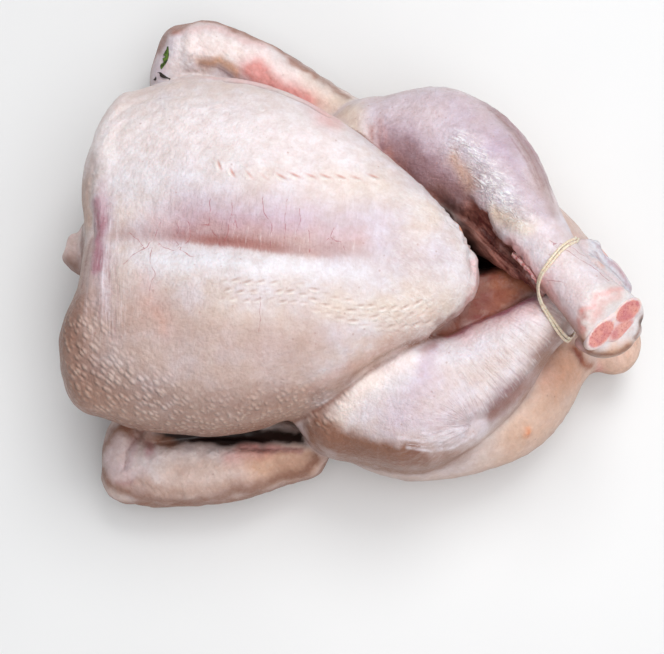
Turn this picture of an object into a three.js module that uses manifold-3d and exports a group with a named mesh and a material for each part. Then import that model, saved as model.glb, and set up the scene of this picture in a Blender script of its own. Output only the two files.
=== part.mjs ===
// A whole dressed soup chicken lying on its back, with its crossed legs held by an elastic band.
// Millimetres, +Z up, +X from the neck to the tail, +Y towards the bird's left side.
// The flesh and skin are one solid: carcass, breast, neck, tail, wings and legs joined together.
// The leg bones show at the cut hocks and run up through the drumsticks to the knees.
// It rests on a flat patch of its back, at Z = 0.

import * as THREE from "three";
import { mergeVertices } from "three/addons/utils/BufferGeometryUtils.js";
import Module from "manifold-3d";

const wasm = await Module();
wasm.setup();

// Where the middle of the finished bird lies in the frame that the stations below are written in.
const MIDDLE = new THREE.Vector3(1, 11, 0);

const GAP = 0.35; // clearance between two pieces that touch
const CAP_SHARE = 0.2; // share of a form's rings that each rounded end takes
const BAND_SIDES = 6; // faces round the band's section
const BAND_STEPS = 42; // steps round the band's loop

// Carcass and breast: x, y of the middle, z of the widest line, half width, height above it, depth below it
const CARCASS = [
  [-96, 7, 44, 46, 44, 42],
  [-50, 6, 42, 54, 46, 44],
  [0, 4, 40, 56, 44, 42.5],
  [50, 2, 34, 54, 32, 35],
  [92, -2, 28, 44, 20, 26],
];
const CARCASS_CAPS = [20, 22];
const CARCASS_POWER = 2.6;

const BREAST = [
  [-112, 3, 60, 77, 40, 34],
  [-84, 5.5, 59, 84, 49, 40],
  [-48, 5.5, 60, 82, 53, 42],
  [-14, 5.5, 64, 68, 45, 40],
  [14, 6, 71, 48, 34, 34],
  [36, 4, 78.5, 30, 23, 25],
  [48.5, 1, 80.5, 17.5, 17, 19],
];
const BREAST_CAPS = [20, 8.5];
const BREAST_POWER = 2.3;
const BREAST_BLUNT = 0.65; // below 1, the front end is blunter than round
const KEEL_Y = 0; // the keel leans a little towards the bird's right
const KEEL_GROOVE = { from: -118, to: -2, depth: 4.5, half: 11 };
const CLEFT = { x: -130, depth: 10, farHalf: 22, nearFrom: 10, nearTo: 44, reach: 24, from: 10, to: 42, lean: 0.04 };

// Limbs: x, y, z of the middle, half width, half depth
const NECK = [
  [-104, 5, 44, 21, 19],
  [-122, 6.5, 43, 13.5, 12],
  [-131.5, 5, 42, 8.5, 9],
];
const TAIL = [
  [94, -8, 26, 24, 20],
  [114, -12, 25, 14.5, 14],
  [129, -12.5, 24, 15, 11.5],
];
const THIGHS = {
  left: [
    [6, 68, 36, 24, 25],
    [40, 64, 31, 27, 27],
    [78, 39, 29, 22, 25],
    [103, 20, 29, 18, 23],
  ],
  right: [
    [6, -58, 35, 22, 25],
    [36, -61, 31, 27, 27],
    [77, -47.5, 30, 26, 26],
    [99, -21, 29, 19.5, 24],
  ],
};
const DRUMSTICKS = {
  left: [
    [6, 72, 46, 22, 22],
    [34, 70, 51, 29, 27],
    [58, 56, 60, 26, 25],
    [76, 33.5, 73, 17, 18],
    [90, 11, 85, 12.5, 12.5],
    [104, -5, 92, 13, 12.5],
    [116.5, -18, 97, 16, 13],
  ],
  right: [
    [2, -60, 48, 22, 22],
    [34, -55, 53, 29.5, 27],
    [62, -38.5, 58, 24, 22],
    [84, -18, 66, 15, 16],
    [98, -4, 69, 12, 12],
    [110, 8, 71, 12, 11.5],
    [117, 14, 71.5, 13, 11],
  ],
};
const HOCK_CAPS = { left: 0.5, right: 0.2 }; // how far each cut hock is domed, as a share of its radius
const UPPER_WINGS = {
  left: [
    [-88, 84, 31, 19, 14],
    [-52, 89, 29, 15, 12],
    [-16, 84, 28, 11, 12],
  ],
  right: [
    [-86, -66, 27, 16, 13],
    [-52, -70, 18, 12, 11],
    [-18, -76, 21, 11, 12],
  ],
};
const FOREARMS = {
  left: [
    [-14, 88, 30, 11, 12],
    [-50, 105.5, 31, 14, 14],
    [-82, 116.5, 31, 15, 14.5],
    [-91, 116, 31, 15, 14.5],
  ],
  right: [
    [-18, -82, 23, 10, 13],
    [-50, -90, 23, 15, 15],
    [-84, -94, 22, 16.5, 15],
    [-96, -94, 21, 16, 14],
  ],
};
const HANDS = {
  left: [
    [-99, 117, 29, 12, 14],
    [-101, 98, 27, 11, 13],
    [-95, 76, 20, 9, 10],
  ],
  right: [
    [-101, -97, 20, 12, 14],
    [-103, -80, 19, 10.5, 12],
    [-98, -62, 15, 8, 9],
  ],
};

// The loose belly skin that runs from the breast's tip to the hocks, beside the cavity
const BELLY_FLAP = [
  [58, -10, 55, 12, 8],
  [76, -4, 58, 11, 7],
  [92, 4, 57, 10, 7],
];

// The open cavity between the breast's tip, the hocks and the belly skin: an oval hollow
const CAVITY = { at: [67, 13, 55], half: [19, 9, 22], turn: -0.5 };

// The leg bones inside the drumsticks, from the knee to the hock
const BONE_FROM = 1; // number of the drumstick's station where the bone starts
const BONE_HALF = { knee: 8, shaft: 4.5, hock: 6 };
const BONE_CAPS = [0.6, 0.3]; // how far the shaft's two ends are domed, as a share of its radius
const CONDYLE = { apart: 15.5, half: [5, 7, 7], lift: 2 }; // the hock end's two knobs

// The elastic band round both hocks: points that it passes, round the loop, and its section
const BAND_LOOP = [
  [97, 20, 88], [91.5, 16.5, 97], [85.5, 8, 97.5], [81.5, 1.5, 91],
  [83.5, -5, 81.5], [88.5, -12, 83], [94, -19, 80.5], [100, -20, 70],
  [104, -12, 58], [107, 2, 56], [105, 16, 62], [100.5, 22, 76],
];
const BAND_HALF = [1.1, 1.6]; // half thickness and half width
const RING_RADIUS = 10; // of the plain ring that is bent into the band's loop

const TABLE = { size: 400, depth: 60 }; // the block below Z = 0 that the resting patch is cut by

const UP = new THREE.Vector3(0, 0, 1);

// A curve through the stations, and their sizes at the same share of the way along.
function spine(stations) {
  const path = new THREE.CatmullRomCurve3(
    stations.map(([x, y, z]) => new THREE.Vector3(x, y, z)), false, "catmullrom",
  );
  const sizes = new THREE.CatmullRomCurve3(
    stations.map((s) => new THREE.Vector3(...s.slice(3), 0).setComponent(2, s[5] ?? 0)), false, "catmullrom",
  );
  return { path, sizes };
}

// How far along the curve a ring is, how open it is and how far it stands beyond the curve's end.
function ring(share) {
  if (share < CAP_SHARE) {
    const angle = ((share / CAP_SHARE) * Math.PI) / 2;
    return { t: 0, open: Math.sin(angle), beyond: -Math.cos(angle) };
  }
  if (share > 1 - CAP_SHARE) {
    const angle = (((1 - share) / CAP_SHARE) * Math.PI) / 2;
    return { t: 1, open: Math.sin(angle), beyond: Math.cos(angle) };
  }
  return { t: (share - CAP_SHARE) / (1 - 2 * CAP_SHARE), open: 1, beyond: 0 };
}

// A sphere whose points are moved to place(share from pole to pole, angle round the middle).
function swollenSphere(around, rings, place) {
  const geometry = new THREE.SphereGeometry(1, around, rings);
  geometry.deleteAttribute("normal");
  geometry.deleteAttribute("uv");
  const points = geometry.getAttribute("position");
  const point = new THREE.Vector3();
  for (let i = 0; i < points.count; i++) {
    point.fromBufferAttribute(points, i);
    const share = 1 - Math.acos(THREE.MathUtils.clamp(point.y, -1, 1)) / Math.PI;
    const moved = place(share, Math.atan2(point.z, point.x));
    points.setXYZ(i, moved.x, moved.y, moved.z);
  }
  return mergeVertices(geometry, 1e-4);
}

// A limb: an oval section that follows the stations, with rounded ends. grow makes it fatter all over.
function limb(stations, around, rings, { caps = [1, 1], grow = 0 } = {}) {
  const { path, sizes } = spine(stations);
  return swollenSphere(around, rings, (share, angle) => {
    const { t, open, beyond } = ring(share);
    const along = path.getTangent(t);
    const depthWay = UP.clone().addScaledVector(along, -UP.dot(along)).normalize();
    const widthWay = along.clone().cross(depthWay);
    const size = sizes.getPoint(t);
    const cap = beyond < 0 ? caps[0] : caps[1];
    const overhang = beyond * (cap * (size.x + size.y) / 2 + grow);
    return path.getPoint(t)
      .addScaledVector(widthWay, open * (size.x + grow) * Math.cos(angle))
      .addScaledVector(depthWay, open * (size.y + grow) * Math.sin(angle))
      .addScaledVector(along, overhang);
  });
}

const power = (value, p) => Math.sign(value) * Math.abs(value) ** p;

// A trunk: sections square to X with a different height above and below their widest line.
function trunk(stations, around, rings, { caps, squareness, blunt = 1, shape = (p) => p }) {
  const { path, sizes } = spine(stations);
  return swollenSphere(around, rings, (share, angle) => {
    const { t, open, beyond } = ring(share);
    const spread = beyond < 0 ? open ** blunt : open;
    const middle = path.getPoint(t);
    const size = sizes.getPoint(t);
    const sine = power(Math.sin(angle), 2 / squareness);
    const point = new THREE.Vector3(
      middle.x + beyond * (beyond < 0 ? caps[0] : caps[1]),
      middle.y - spread * size.x * power(Math.cos(angle), 2 / squareness),
      middle.z + spread * sine * (sine > 0 ? size.y : size.z),
    );
    return shape(point);
  });
}

const bump = (distance, half) => Math.exp(-((distance / half) ** 2));

// The shallow groove along the keel, and the cleft that parts the breast above the neck.
// The right lobe reaches further forward than the left by the cleft's lean.
function keelAndCleft(point) {
  const { from, to, depth, half } = KEEL_GROOVE;
  const along = THREE.MathUtils.smoothstep(point.x, from, from + 40) *
    (1 - THREE.MathUtils.smoothstep(point.x, to - 50, to));
  const above = THREE.MathUtils.smoothstep(point.z, 70, 90);
  point.z -= depth * along * above * bump(point.y - KEEL_Y, half);
  const front = 1 - THREE.MathUtils.smoothstep(point.x, CLEFT.x, CLEFT.x + CLEFT.reach);
  const high = THREE.MathUtils.smoothstep(point.z, CLEFT.from, CLEFT.to);
  const side = point.y < KEEL_Y
    ? 1 - THREE.MathUtils.smoothstep(KEEL_Y - point.y, CLEFT.nearFrom, CLEFT.nearTo)
    : bump(point.y - KEEL_Y, CLEFT.farHalf);
  point.x += front * (high * CLEFT.depth * side + CLEFT.lean * point.y);
  return point;
}

function solid(geometry) {
  return new wasm.Manifold(new wasm.Mesh({
    numProp: 3,
    vertProperties: geometry.getAttribute("position").array,
    triVerts: new Uint32Array(geometry.index.array),
  }));
}

function geometryOf(manifold) {
  const { vertProperties, triVerts } = manifold.getMesh();
  return new THREE.BufferGeometry()
    .setAttribute("position", new THREE.BufferAttribute(vertProperties, 3))
    .setIndex(new THREE.BufferAttribute(triVerts, 1));
}

// An oval ball, turned about the vertical.
function oval({ at, half, turn = 0 }, around, rings) {
  return swollenSphere(around, rings, (share, angle) => {
    const height = Math.cos(share * Math.PI);
    const out = Math.sin(share * Math.PI);
    return new THREE.Vector3(
      half[0] * out * Math.cos(angle), -half[1] * out * Math.sin(angle), -half[2] * height,
    ).applyAxisAngle(UP, turn).add(new THREE.Vector3(...at));
  });
}

// A leg bone: a shaft that widens at the knee, and two knobs side by side at the cut hock.
function bone(stations, grow = 0) {
  const inside = stations.slice(BONE_FROM);
  const last = inside.length - 1;
  const shaft = inside.map(([x, y, z], i) => {
    const half = i === 0 ? BONE_HALF.knee : i === last ? BONE_HALF.hock : BONE_HALF.shaft;
    return [x, y, z, half, half];
  });
  const { path } = spine(inside);
  const along = path.getTangent(1);
  const across = along.clone().cross(UP).normalize();
  let whole = solid(limb(shaft, 10, 12, { caps: BONE_CAPS, grow }));
  for (const side of [-1, 1]) {
    const knob = oval({ at: [0, 0, 0], half: CONDYLE.half.map((h) => h + grow) }, 10, 8);
    const turned = new THREE.Matrix4().makeBasis(across, along.clone().cross(across), along);
    turned.setPosition(path.getPoint(1)
      .addScaledVector(across, (side * CONDYLE.apart) / 2)
      .addScaledVector(UP, CONDYLE.lift));
    whole = whole.add(solid(knob.applyMatrix4(turned)));
  }
  return whole;
}

// The elastic band: a flat strip that closes on itself, with its wide side against the shanks.
function band(grow = 0) {
  const loop = new THREE.CatmullRomCurve3(BAND_LOOP.map((p) => new THREE.Vector3(...p)), true, "centripetal");
  const middle = new THREE.Vector3(...[0, 1, 2].map((axis) =>
    BAND_LOOP.reduce((sum, p) => sum + p[axis], 0) / BAND_LOOP.length));
  const geometry = new THREE.TorusGeometry(RING_RADIUS, 1, BAND_SIDES, BAND_STEPS);
  const points = geometry.getAttribute("position");
  geometry.deleteAttribute("normal");
  geometry.deleteAttribute("uv");
  const point = new THREE.Vector3();
  for (let i = 0; i < points.count; i++) {
    point.fromBufferAttribute(points, i);
    const t = (Math.atan2(point.y, point.x) / (2 * Math.PI) + 1) % 1;
    const centre = loop.getPoint(t);
    const along = loop.getTangent(t);
    const out = centre.clone().sub(middle);
    out.addScaledVector(along, -out.dot(along)).normalize();
    const side = out.clone().cross(along);
    const thick = Math.hypot(point.x, point.y) - RING_RADIUS;
    centre.addScaledVector(out, thick * (BAND_HALF[0] + grow)).addScaledVector(side, point.z * (BAND_HALF[1] + grow));
    points.setXYZ(i, centre.x, centre.y, centre.z);
  }
  return solid(mergeVertices(geometry, 1e-4));
}

// Everything that is flesh and skin, joined into one solid.
function flesh() {
  const sides = ["left", "right"];
  let body = solid(trunk(CARCASS, 24, 16, { caps: CARCASS_CAPS, squareness: CARCASS_POWER }));
  for (const side of sides) body = body.add(solid(limb(THIGHS[side], 18, 14)));
  body = body.add(solid(limb(BELLY_FLAP, 12, 10)));
  body = body.subtract(solid(oval(CAVITY, 16, 10)));
  const breast = { caps: BREAST_CAPS, squareness: BREAST_POWER, blunt: BREAST_BLUNT, shape: keelAndCleft };
  body = body.add(solid(trunk(BREAST, 46, 34, breast)));
  body = body.add(solid(limb(NECK, 14, 10)));
  body = body.add(solid(limb(TAIL, 16, 12)));
  for (const side of sides) {
    body = body.add(solid(limb(DRUMSTICKS[side], 22, 24, { caps: [1, HOCK_CAPS[side]] })));
    body = body.add(solid(limb(UPPER_WINGS[side], 12, 10)));
    body = body.add(solid(limb(FOREARMS[side], 16, 14)));
    body = body.add(solid(limb(HANDS[side], 14, 10)));
    body = body.subtract(bone(DRUMSTICKS[side], GAP));
  }
  const table = new THREE.BoxGeometry(TABLE.size, TABLE.size, TABLE.depth).translate(0, 0, -TABLE.depth / 2);
  table.deleteAttribute("normal");
  table.deleteAttribute("uv");
  return body.subtract(band(GAP)).subtract(solid(mergeVertices(table)));
}

function named(name, manifold, color, roughness) {
  const mesh = new THREE.Mesh(
    geometryOf(manifold),
    new THREE.MeshStandardMaterial({ color, roughness, metalness: 0 }),
  );
  mesh.name = name;
  return mesh;
}

const bird = new THREE.Group();
bird.add(named("chicken", flesh(), 0xe6d2cc, 0.4));
bird.add(named("tibia_left", bone(DRUMSTICKS.left), 0xd08a80, 0.5));
bird.add(named("tibia_right", bone(DRUMSTICKS.right), 0xd08a80, 0.5));
bird.add(named("leg_band", band(), 0xe2cfa8, 0.6));
bird.position.copy(MIDDLE).negate();

export default bird;
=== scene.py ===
# The looks of a whole dressed soup chicken that lies on its back, its crossed legs held by an elastic band.
# The tables are in millimetres, and Blender's objects in metres. +X runs from the neck to the tail,
# +Y towards the bird's left side, +Z up.

import math
from functools import partial, reduce

import bpy
import numpy as np
from mathutils import Matrix, Vector


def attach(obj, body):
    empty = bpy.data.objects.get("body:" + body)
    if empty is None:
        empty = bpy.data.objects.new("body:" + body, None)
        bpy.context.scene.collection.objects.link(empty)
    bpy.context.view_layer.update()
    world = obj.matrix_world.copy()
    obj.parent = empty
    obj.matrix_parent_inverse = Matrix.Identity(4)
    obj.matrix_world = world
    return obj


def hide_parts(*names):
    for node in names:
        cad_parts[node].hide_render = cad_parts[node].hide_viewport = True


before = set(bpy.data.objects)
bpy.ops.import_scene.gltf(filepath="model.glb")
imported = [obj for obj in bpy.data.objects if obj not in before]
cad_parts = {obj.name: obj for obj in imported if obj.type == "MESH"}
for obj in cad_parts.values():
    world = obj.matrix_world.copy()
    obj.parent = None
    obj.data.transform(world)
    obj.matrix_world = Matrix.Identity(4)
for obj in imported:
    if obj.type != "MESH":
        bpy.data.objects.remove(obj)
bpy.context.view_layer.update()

MM = 0.001
MIDDLE = np.array([1.0, 11.0, 0.0])  # the finished bird's middle, in the frame of the stations
SKIN_BOX = (-150, -126, -6), (152, 142, 122)  # a box round the whole bird, in the same frame
FAR = 30.0  # a distance that counts as far away
SKIN_STEP = 1.3  # grid steps of the meshes
BONE_STEP = 0.7

# Carcass and breast: x, y of the middle, z of the widest line, half width, height above it, depth below it
CARCASS = [
    [-96, 7, 44, 46, 44, 42],
    [-50, 6, 42, 54, 46, 44],
    [0, 4, 40, 56, 44, 42.5],
    [50, 2, 34, 54, 32, 35],
    [92, -2, 28, 44, 20, 26],
]
BREAST = [
    [-112, 3, 60, 77, 40, 34],
    [-84, 5.5, 59, 84, 49, 40],
    [-48, 5.5, 60, 82, 53, 42],
    [-14, 5.5, 64, 68, 45, 40],
    [14, 6, 71, 48, 34, 34],
    [36, 4, 78.5, 30, 23, 25],
    [48, 2, 80.5, 17, 17, 19],
    [53, 0.3, 81, 9, 12.5, 15],
]
KEEL_Y = 0.0
KEEL_GROOVE = {"start": -118, "end": -2, "depth": 4.5, "far_half": 12, "near_half": 7}
CLEFT = {
    "x": -130, "depth": 10, "far_half": 22, "near_start": 10, "near_end": 44,
    "reach": 24, "start": 10, "end": 42, "lean": 0.04,
}

# Limbs: x, y, z of the middle, half width, half depth
NECK = [[-104, 5, 44, 21, 19], [-122, 6.5, 43, 13.5, 12], [-131.5, 5, 42, 8.5, 9]]
TAIL = [[94, -8, 26, 24, 20], [114, -12, 25, 14.5, 14], [129, -12.5, 24, 15, 11.5]]
THIGHS = {
    "left": [[6, 68, 36, 24, 25], [40, 64, 31, 27, 27], [78, 39, 29, 22, 25], [103, 20, 29, 18, 23]],
    "right": [[6, -58, 35, 22, 25], [36, -61, 31, 27, 27], [77, -47.5, 30, 26, 26], [99, -21, 29, 19.5, 24]],
}
DRUMSTICKS = {
    "left": [
        [6, 72, 46, 22, 22], [34, 70, 51, 29, 27], [58, 56, 60, 26, 25], [76, 33.5, 73, 17, 18],
        [90, 11, 85, 12.5, 12.5], [104, -5, 92, 13, 12.5], [116.5, -18, 97, 16, 13],
    ],
    "right": [
        [2, -60, 48, 22, 22], [34, -55, 53, 29.5, 27], [62, -38.5, 58, 24, 22], [84, -18, 66, 15, 16],
        [98, -4, 69, 12, 12], [110, 8, 71, 12, 11.5], [117, 14, 71.5, 13, 11],
    ],
}
HOCK_CAPS = {"left": 0.5, "right": 0.2}
UPPER_WINGS = {
    "left": [[-88, 84, 31, 19, 14], [-52, 89, 29, 15, 12], [-16, 84, 28, 11, 12]],
    "right": [[-86, -66, 27, 16, 13], [-52, -70, 18, 12, 11], [-18, -76, 21, 11, 12]],
}
FOREARMS = {
    "left": [
        [-14, 88, 30, 11, 12], [-50, 105.5, 31, 14, 14],
        [-80, 115.5, 31, 14.5, 14.5], [-89, 115, 31, 14, 14.5],
    ],
    "right": [
        [-18, -82, 23, 10, 13], [-50, -90, 23, 15, 15], [-84, -94, 22, 16.5, 15], [-96, -94, 21, 16, 14],
    ],
}
BONES = {"knee": 8, "shaft": 4.5, "hock": 6}
# Knobs at the bones' hock ends: middle, half sizes along its length, across and deep, turn about the vertical
KNOBS = {
    "left": [((109.6, -21.6, 97.0), (9.0, 4.9, 7), 52), ((120.5, -10.7, 97.1), (8.0, 4.9, 7), 44)],
    "right": [((113.2, 19.4, 71), (6.2, 6.6, 7), -45), ((121.8, 10.2, 72), (6.2, 6.6, 7), -45)],
}
BRIDGE = ((118, -18.2, 95.4), (8.5, 4.4, 4.4), 45)
HANDS = {
    "left": [[-96, 115.5, 29, 12, 14], [-100, 98, 27, 10, 13], [-95, 76, 20, 9, 10]],
    "right": [[-101, -97, 20, 12, 14], [-103, -80, 19, 10.5, 12], [-98, -62, 15, 8, 9]],
}
# The ends of the drumsticks are cut: a point on each cut and the way it faces
HOCK_CUTS = {
    "left": ((107.9, -7.9, 106), (0.36, -0.36, 0.86)),
    "right": ((118.5, 14.3, 74), (0.7, 0.66, 0.27)),
}
# Loose skin by the near hock
HOCK_WEB = [[96, 17, 83, 3, 2], [103, 19.5, 81.5, 5, 2], [109, 20.5, 79.5, 4.4, 2.2]]
HOCK_LOBES = [
    [
        [107.5, 21, 79, 2.4, 3.2], [112.3, 16.5, 78.5, 3.8, 4.8],
        [117, 10.3, 78.5, 4.3, 5.2], [122, 4, 79, 3.4, 4.5],
    ],
    [
        [104, 14.5, 82, 2.6, 3.2], [109.5, 12.2, 82.5, 3.6, 4],
        [113.5, 7.5, 83.5, 3.6, 4.2], [118, 3, 85, 3, 4],
    ],
    [
        [104, -25, 88, 3, 4], [112, -27, 90, 4, 4.5], [119.5, -24, 91.5, 4.5, 4.5], [125, -18, 93, 3.6, 4],
    ],
]
# Middle of the far drumstick's cut face, between the bone's two ovals, and its ways along and across them
FACE = {"middle": (116.1, -16.5, 99), "along": (0.7, 0.713, 0.006), "across": (-0.615, 0.6, 0.509)}
# Tones on that face: path along and across it, half width, strength
FACE_TONES = {
    "cream": [([(-12, 9), (-6, 10), (2, 10), (8, 8)], 4.5, 0.25)],
    # the thin white stroke low on the face is a painted glint
    "white": [([(-8, 8), (2, 8), (9, 6)], 4, 0.5), ([(9, -5), (5, -8), (-2, -9)], 1.3, 0.9)],
    "pink": [
        ([(-5, 11), (3, 11.5), (8, 9)], 2, 0.35),
        ([(-14.5, 6), (-13, 10.5), (-9.5, 14), (-4, 13.5), (0.5, 15.2), (7, 13), (12, 9)], 0.9, 0.55),
        ([(-8, 8), (-3, 9)], 2.2, 0.35),
    ],
    "streak": [([(-14, 9), (-12.5, 11)], 1.3, 1.0), ([(-9.5, 11), (-8.5, 14)], 1.2, 0.9)],
    "tan": [
        ([(-16.5, 6), (-17.5, 0), (-15.5, -7), (-9, -11), (-1, -12)], 2.6, 1.0),
        ([(-4, -6), (-8, -8)], 2.0, 0.5),
    ],
    "umber": [
        ([(-17.5, 2), (-16, -6), (-9, -11), (-1, -12.5)], 1.6, 0.9),
        ([(11, -6), (8, -9), (3, -11.5)], 1.0, 0.9),
    ],
    "shadow": [([(10.5, -7), (9, -9)], 0.8, 0.8)],
}
BELLY_FLAP = [[58, -10, 55, 12, 8], [76, -4, 58, 11, 7], [92, 4, 57, 10, 7]]
CAVITY = {"at": (67, 13, 55), "half": (19, 9, 22), "turn": -0.5}
VENT_WALL = [
    [54, 1, 53, 9, 8], [63, 4, 55, 9, 8], [72, 6, 57.5, 8, 8], [81, 5, 60, 7.5, 7], [90, 2, 61, 6, 5],
]
# The near drumstick's skin is pushed up where it meets the breast
LEG_FOLD = [
    [-10, -61, 61, 7, 5.5], [2, -53, 66.5, 7, 6], [14, -46.5, 70.5, 7, 6],
    [25, -40, 73, 7, 6], [33, -34.5, 72.5, 6, 5.5], [40, -31, 69, 5, 4],
]
# A sliver of fat that shows past the breast's edge
EDGE_FAT = [[42, 28.5, 74, 1.4, 2], [44.5, 25.3, 75.5, 2.1, 2.4], [47.5, 21, 75.5, 1.4, 2]]
MEAT_STRAND = [
    [44, 34, 58, 7, 6], [52, 28, 61, 7, 6], [59, 22, 64, 6, 6], [65, 17.5, 67, 4.8, 5.5],
    [71, 12, 71, 3.6, 4.5], [78, 4, 76, 2.6, 3.5], [84, -2, 80, 2, 3],
]

# Display colours of the skin, and of the tones that lie over it in this order
SKIN_COLOURS = {"warm": (226, 210, 204), "cool": (230, 222, 227)}
# Several tones carry painted light, highlights and shade, as noted beside them.
TONE_COLOURS = {
    # the skin's pale colour, also laid as painted highlights and glints
    "white": (238, 235, 240),
    "lilac": (204, 184, 200),
    # muscle showing through the skin, also laid as painted shade in creases and on shaded sides
    "muscle_and_shade": (160, 128, 134),
    "cartilage": (226, 220, 222),
    "ice": (214, 219, 232),
    "cream": (238, 221, 203),
    # painted shade: a greyish brown for the lower, near and turned-away sides
    "dusk": (192, 160, 148),
    # painted light: a near white that brightens places lying in shade
    "light": (255, 242, 240),
    "tan": (222, 180, 154),
    "orange": (230, 154, 114),
    # a reddish streak, also laid as painted shade on the wings' turned-away sides
    "streak": (196, 144, 138),
    "pink": (236, 162, 156),
    "plum": (166, 104, 122),
    "rust": (172, 106, 78),
    # brown skin, also laid as painted shade in creases, gaps, the vent and on turned-away sides
    "umber": (146, 102, 82),
    # red meat and flush, also laid as painted shade in the vent, its hole and the creases
    "red": (126, 50, 42),
    "shadow": (34, 17, 12),
}
# Tones of whole parts, with their strength
WHOLE_TONES = {
    "neck": {"white": 0.3, "tan": 0.25, "pink": 0.15},
    "fat": {"orange": 0.9},
    "tail": {"cream": 0.9, "orange": 0.35},
    "thigh_right": {"tan": 0.15},
    "thigh_left": {"tan": 0.4},
    "wing_left": {"white": 0.4},
    "wing_right": {"white": 0.25, "tan": 0.08},
    "leg_left": {"lilac": 0.3},
    "leg_right": {"lilac": 0.1},
}
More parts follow.
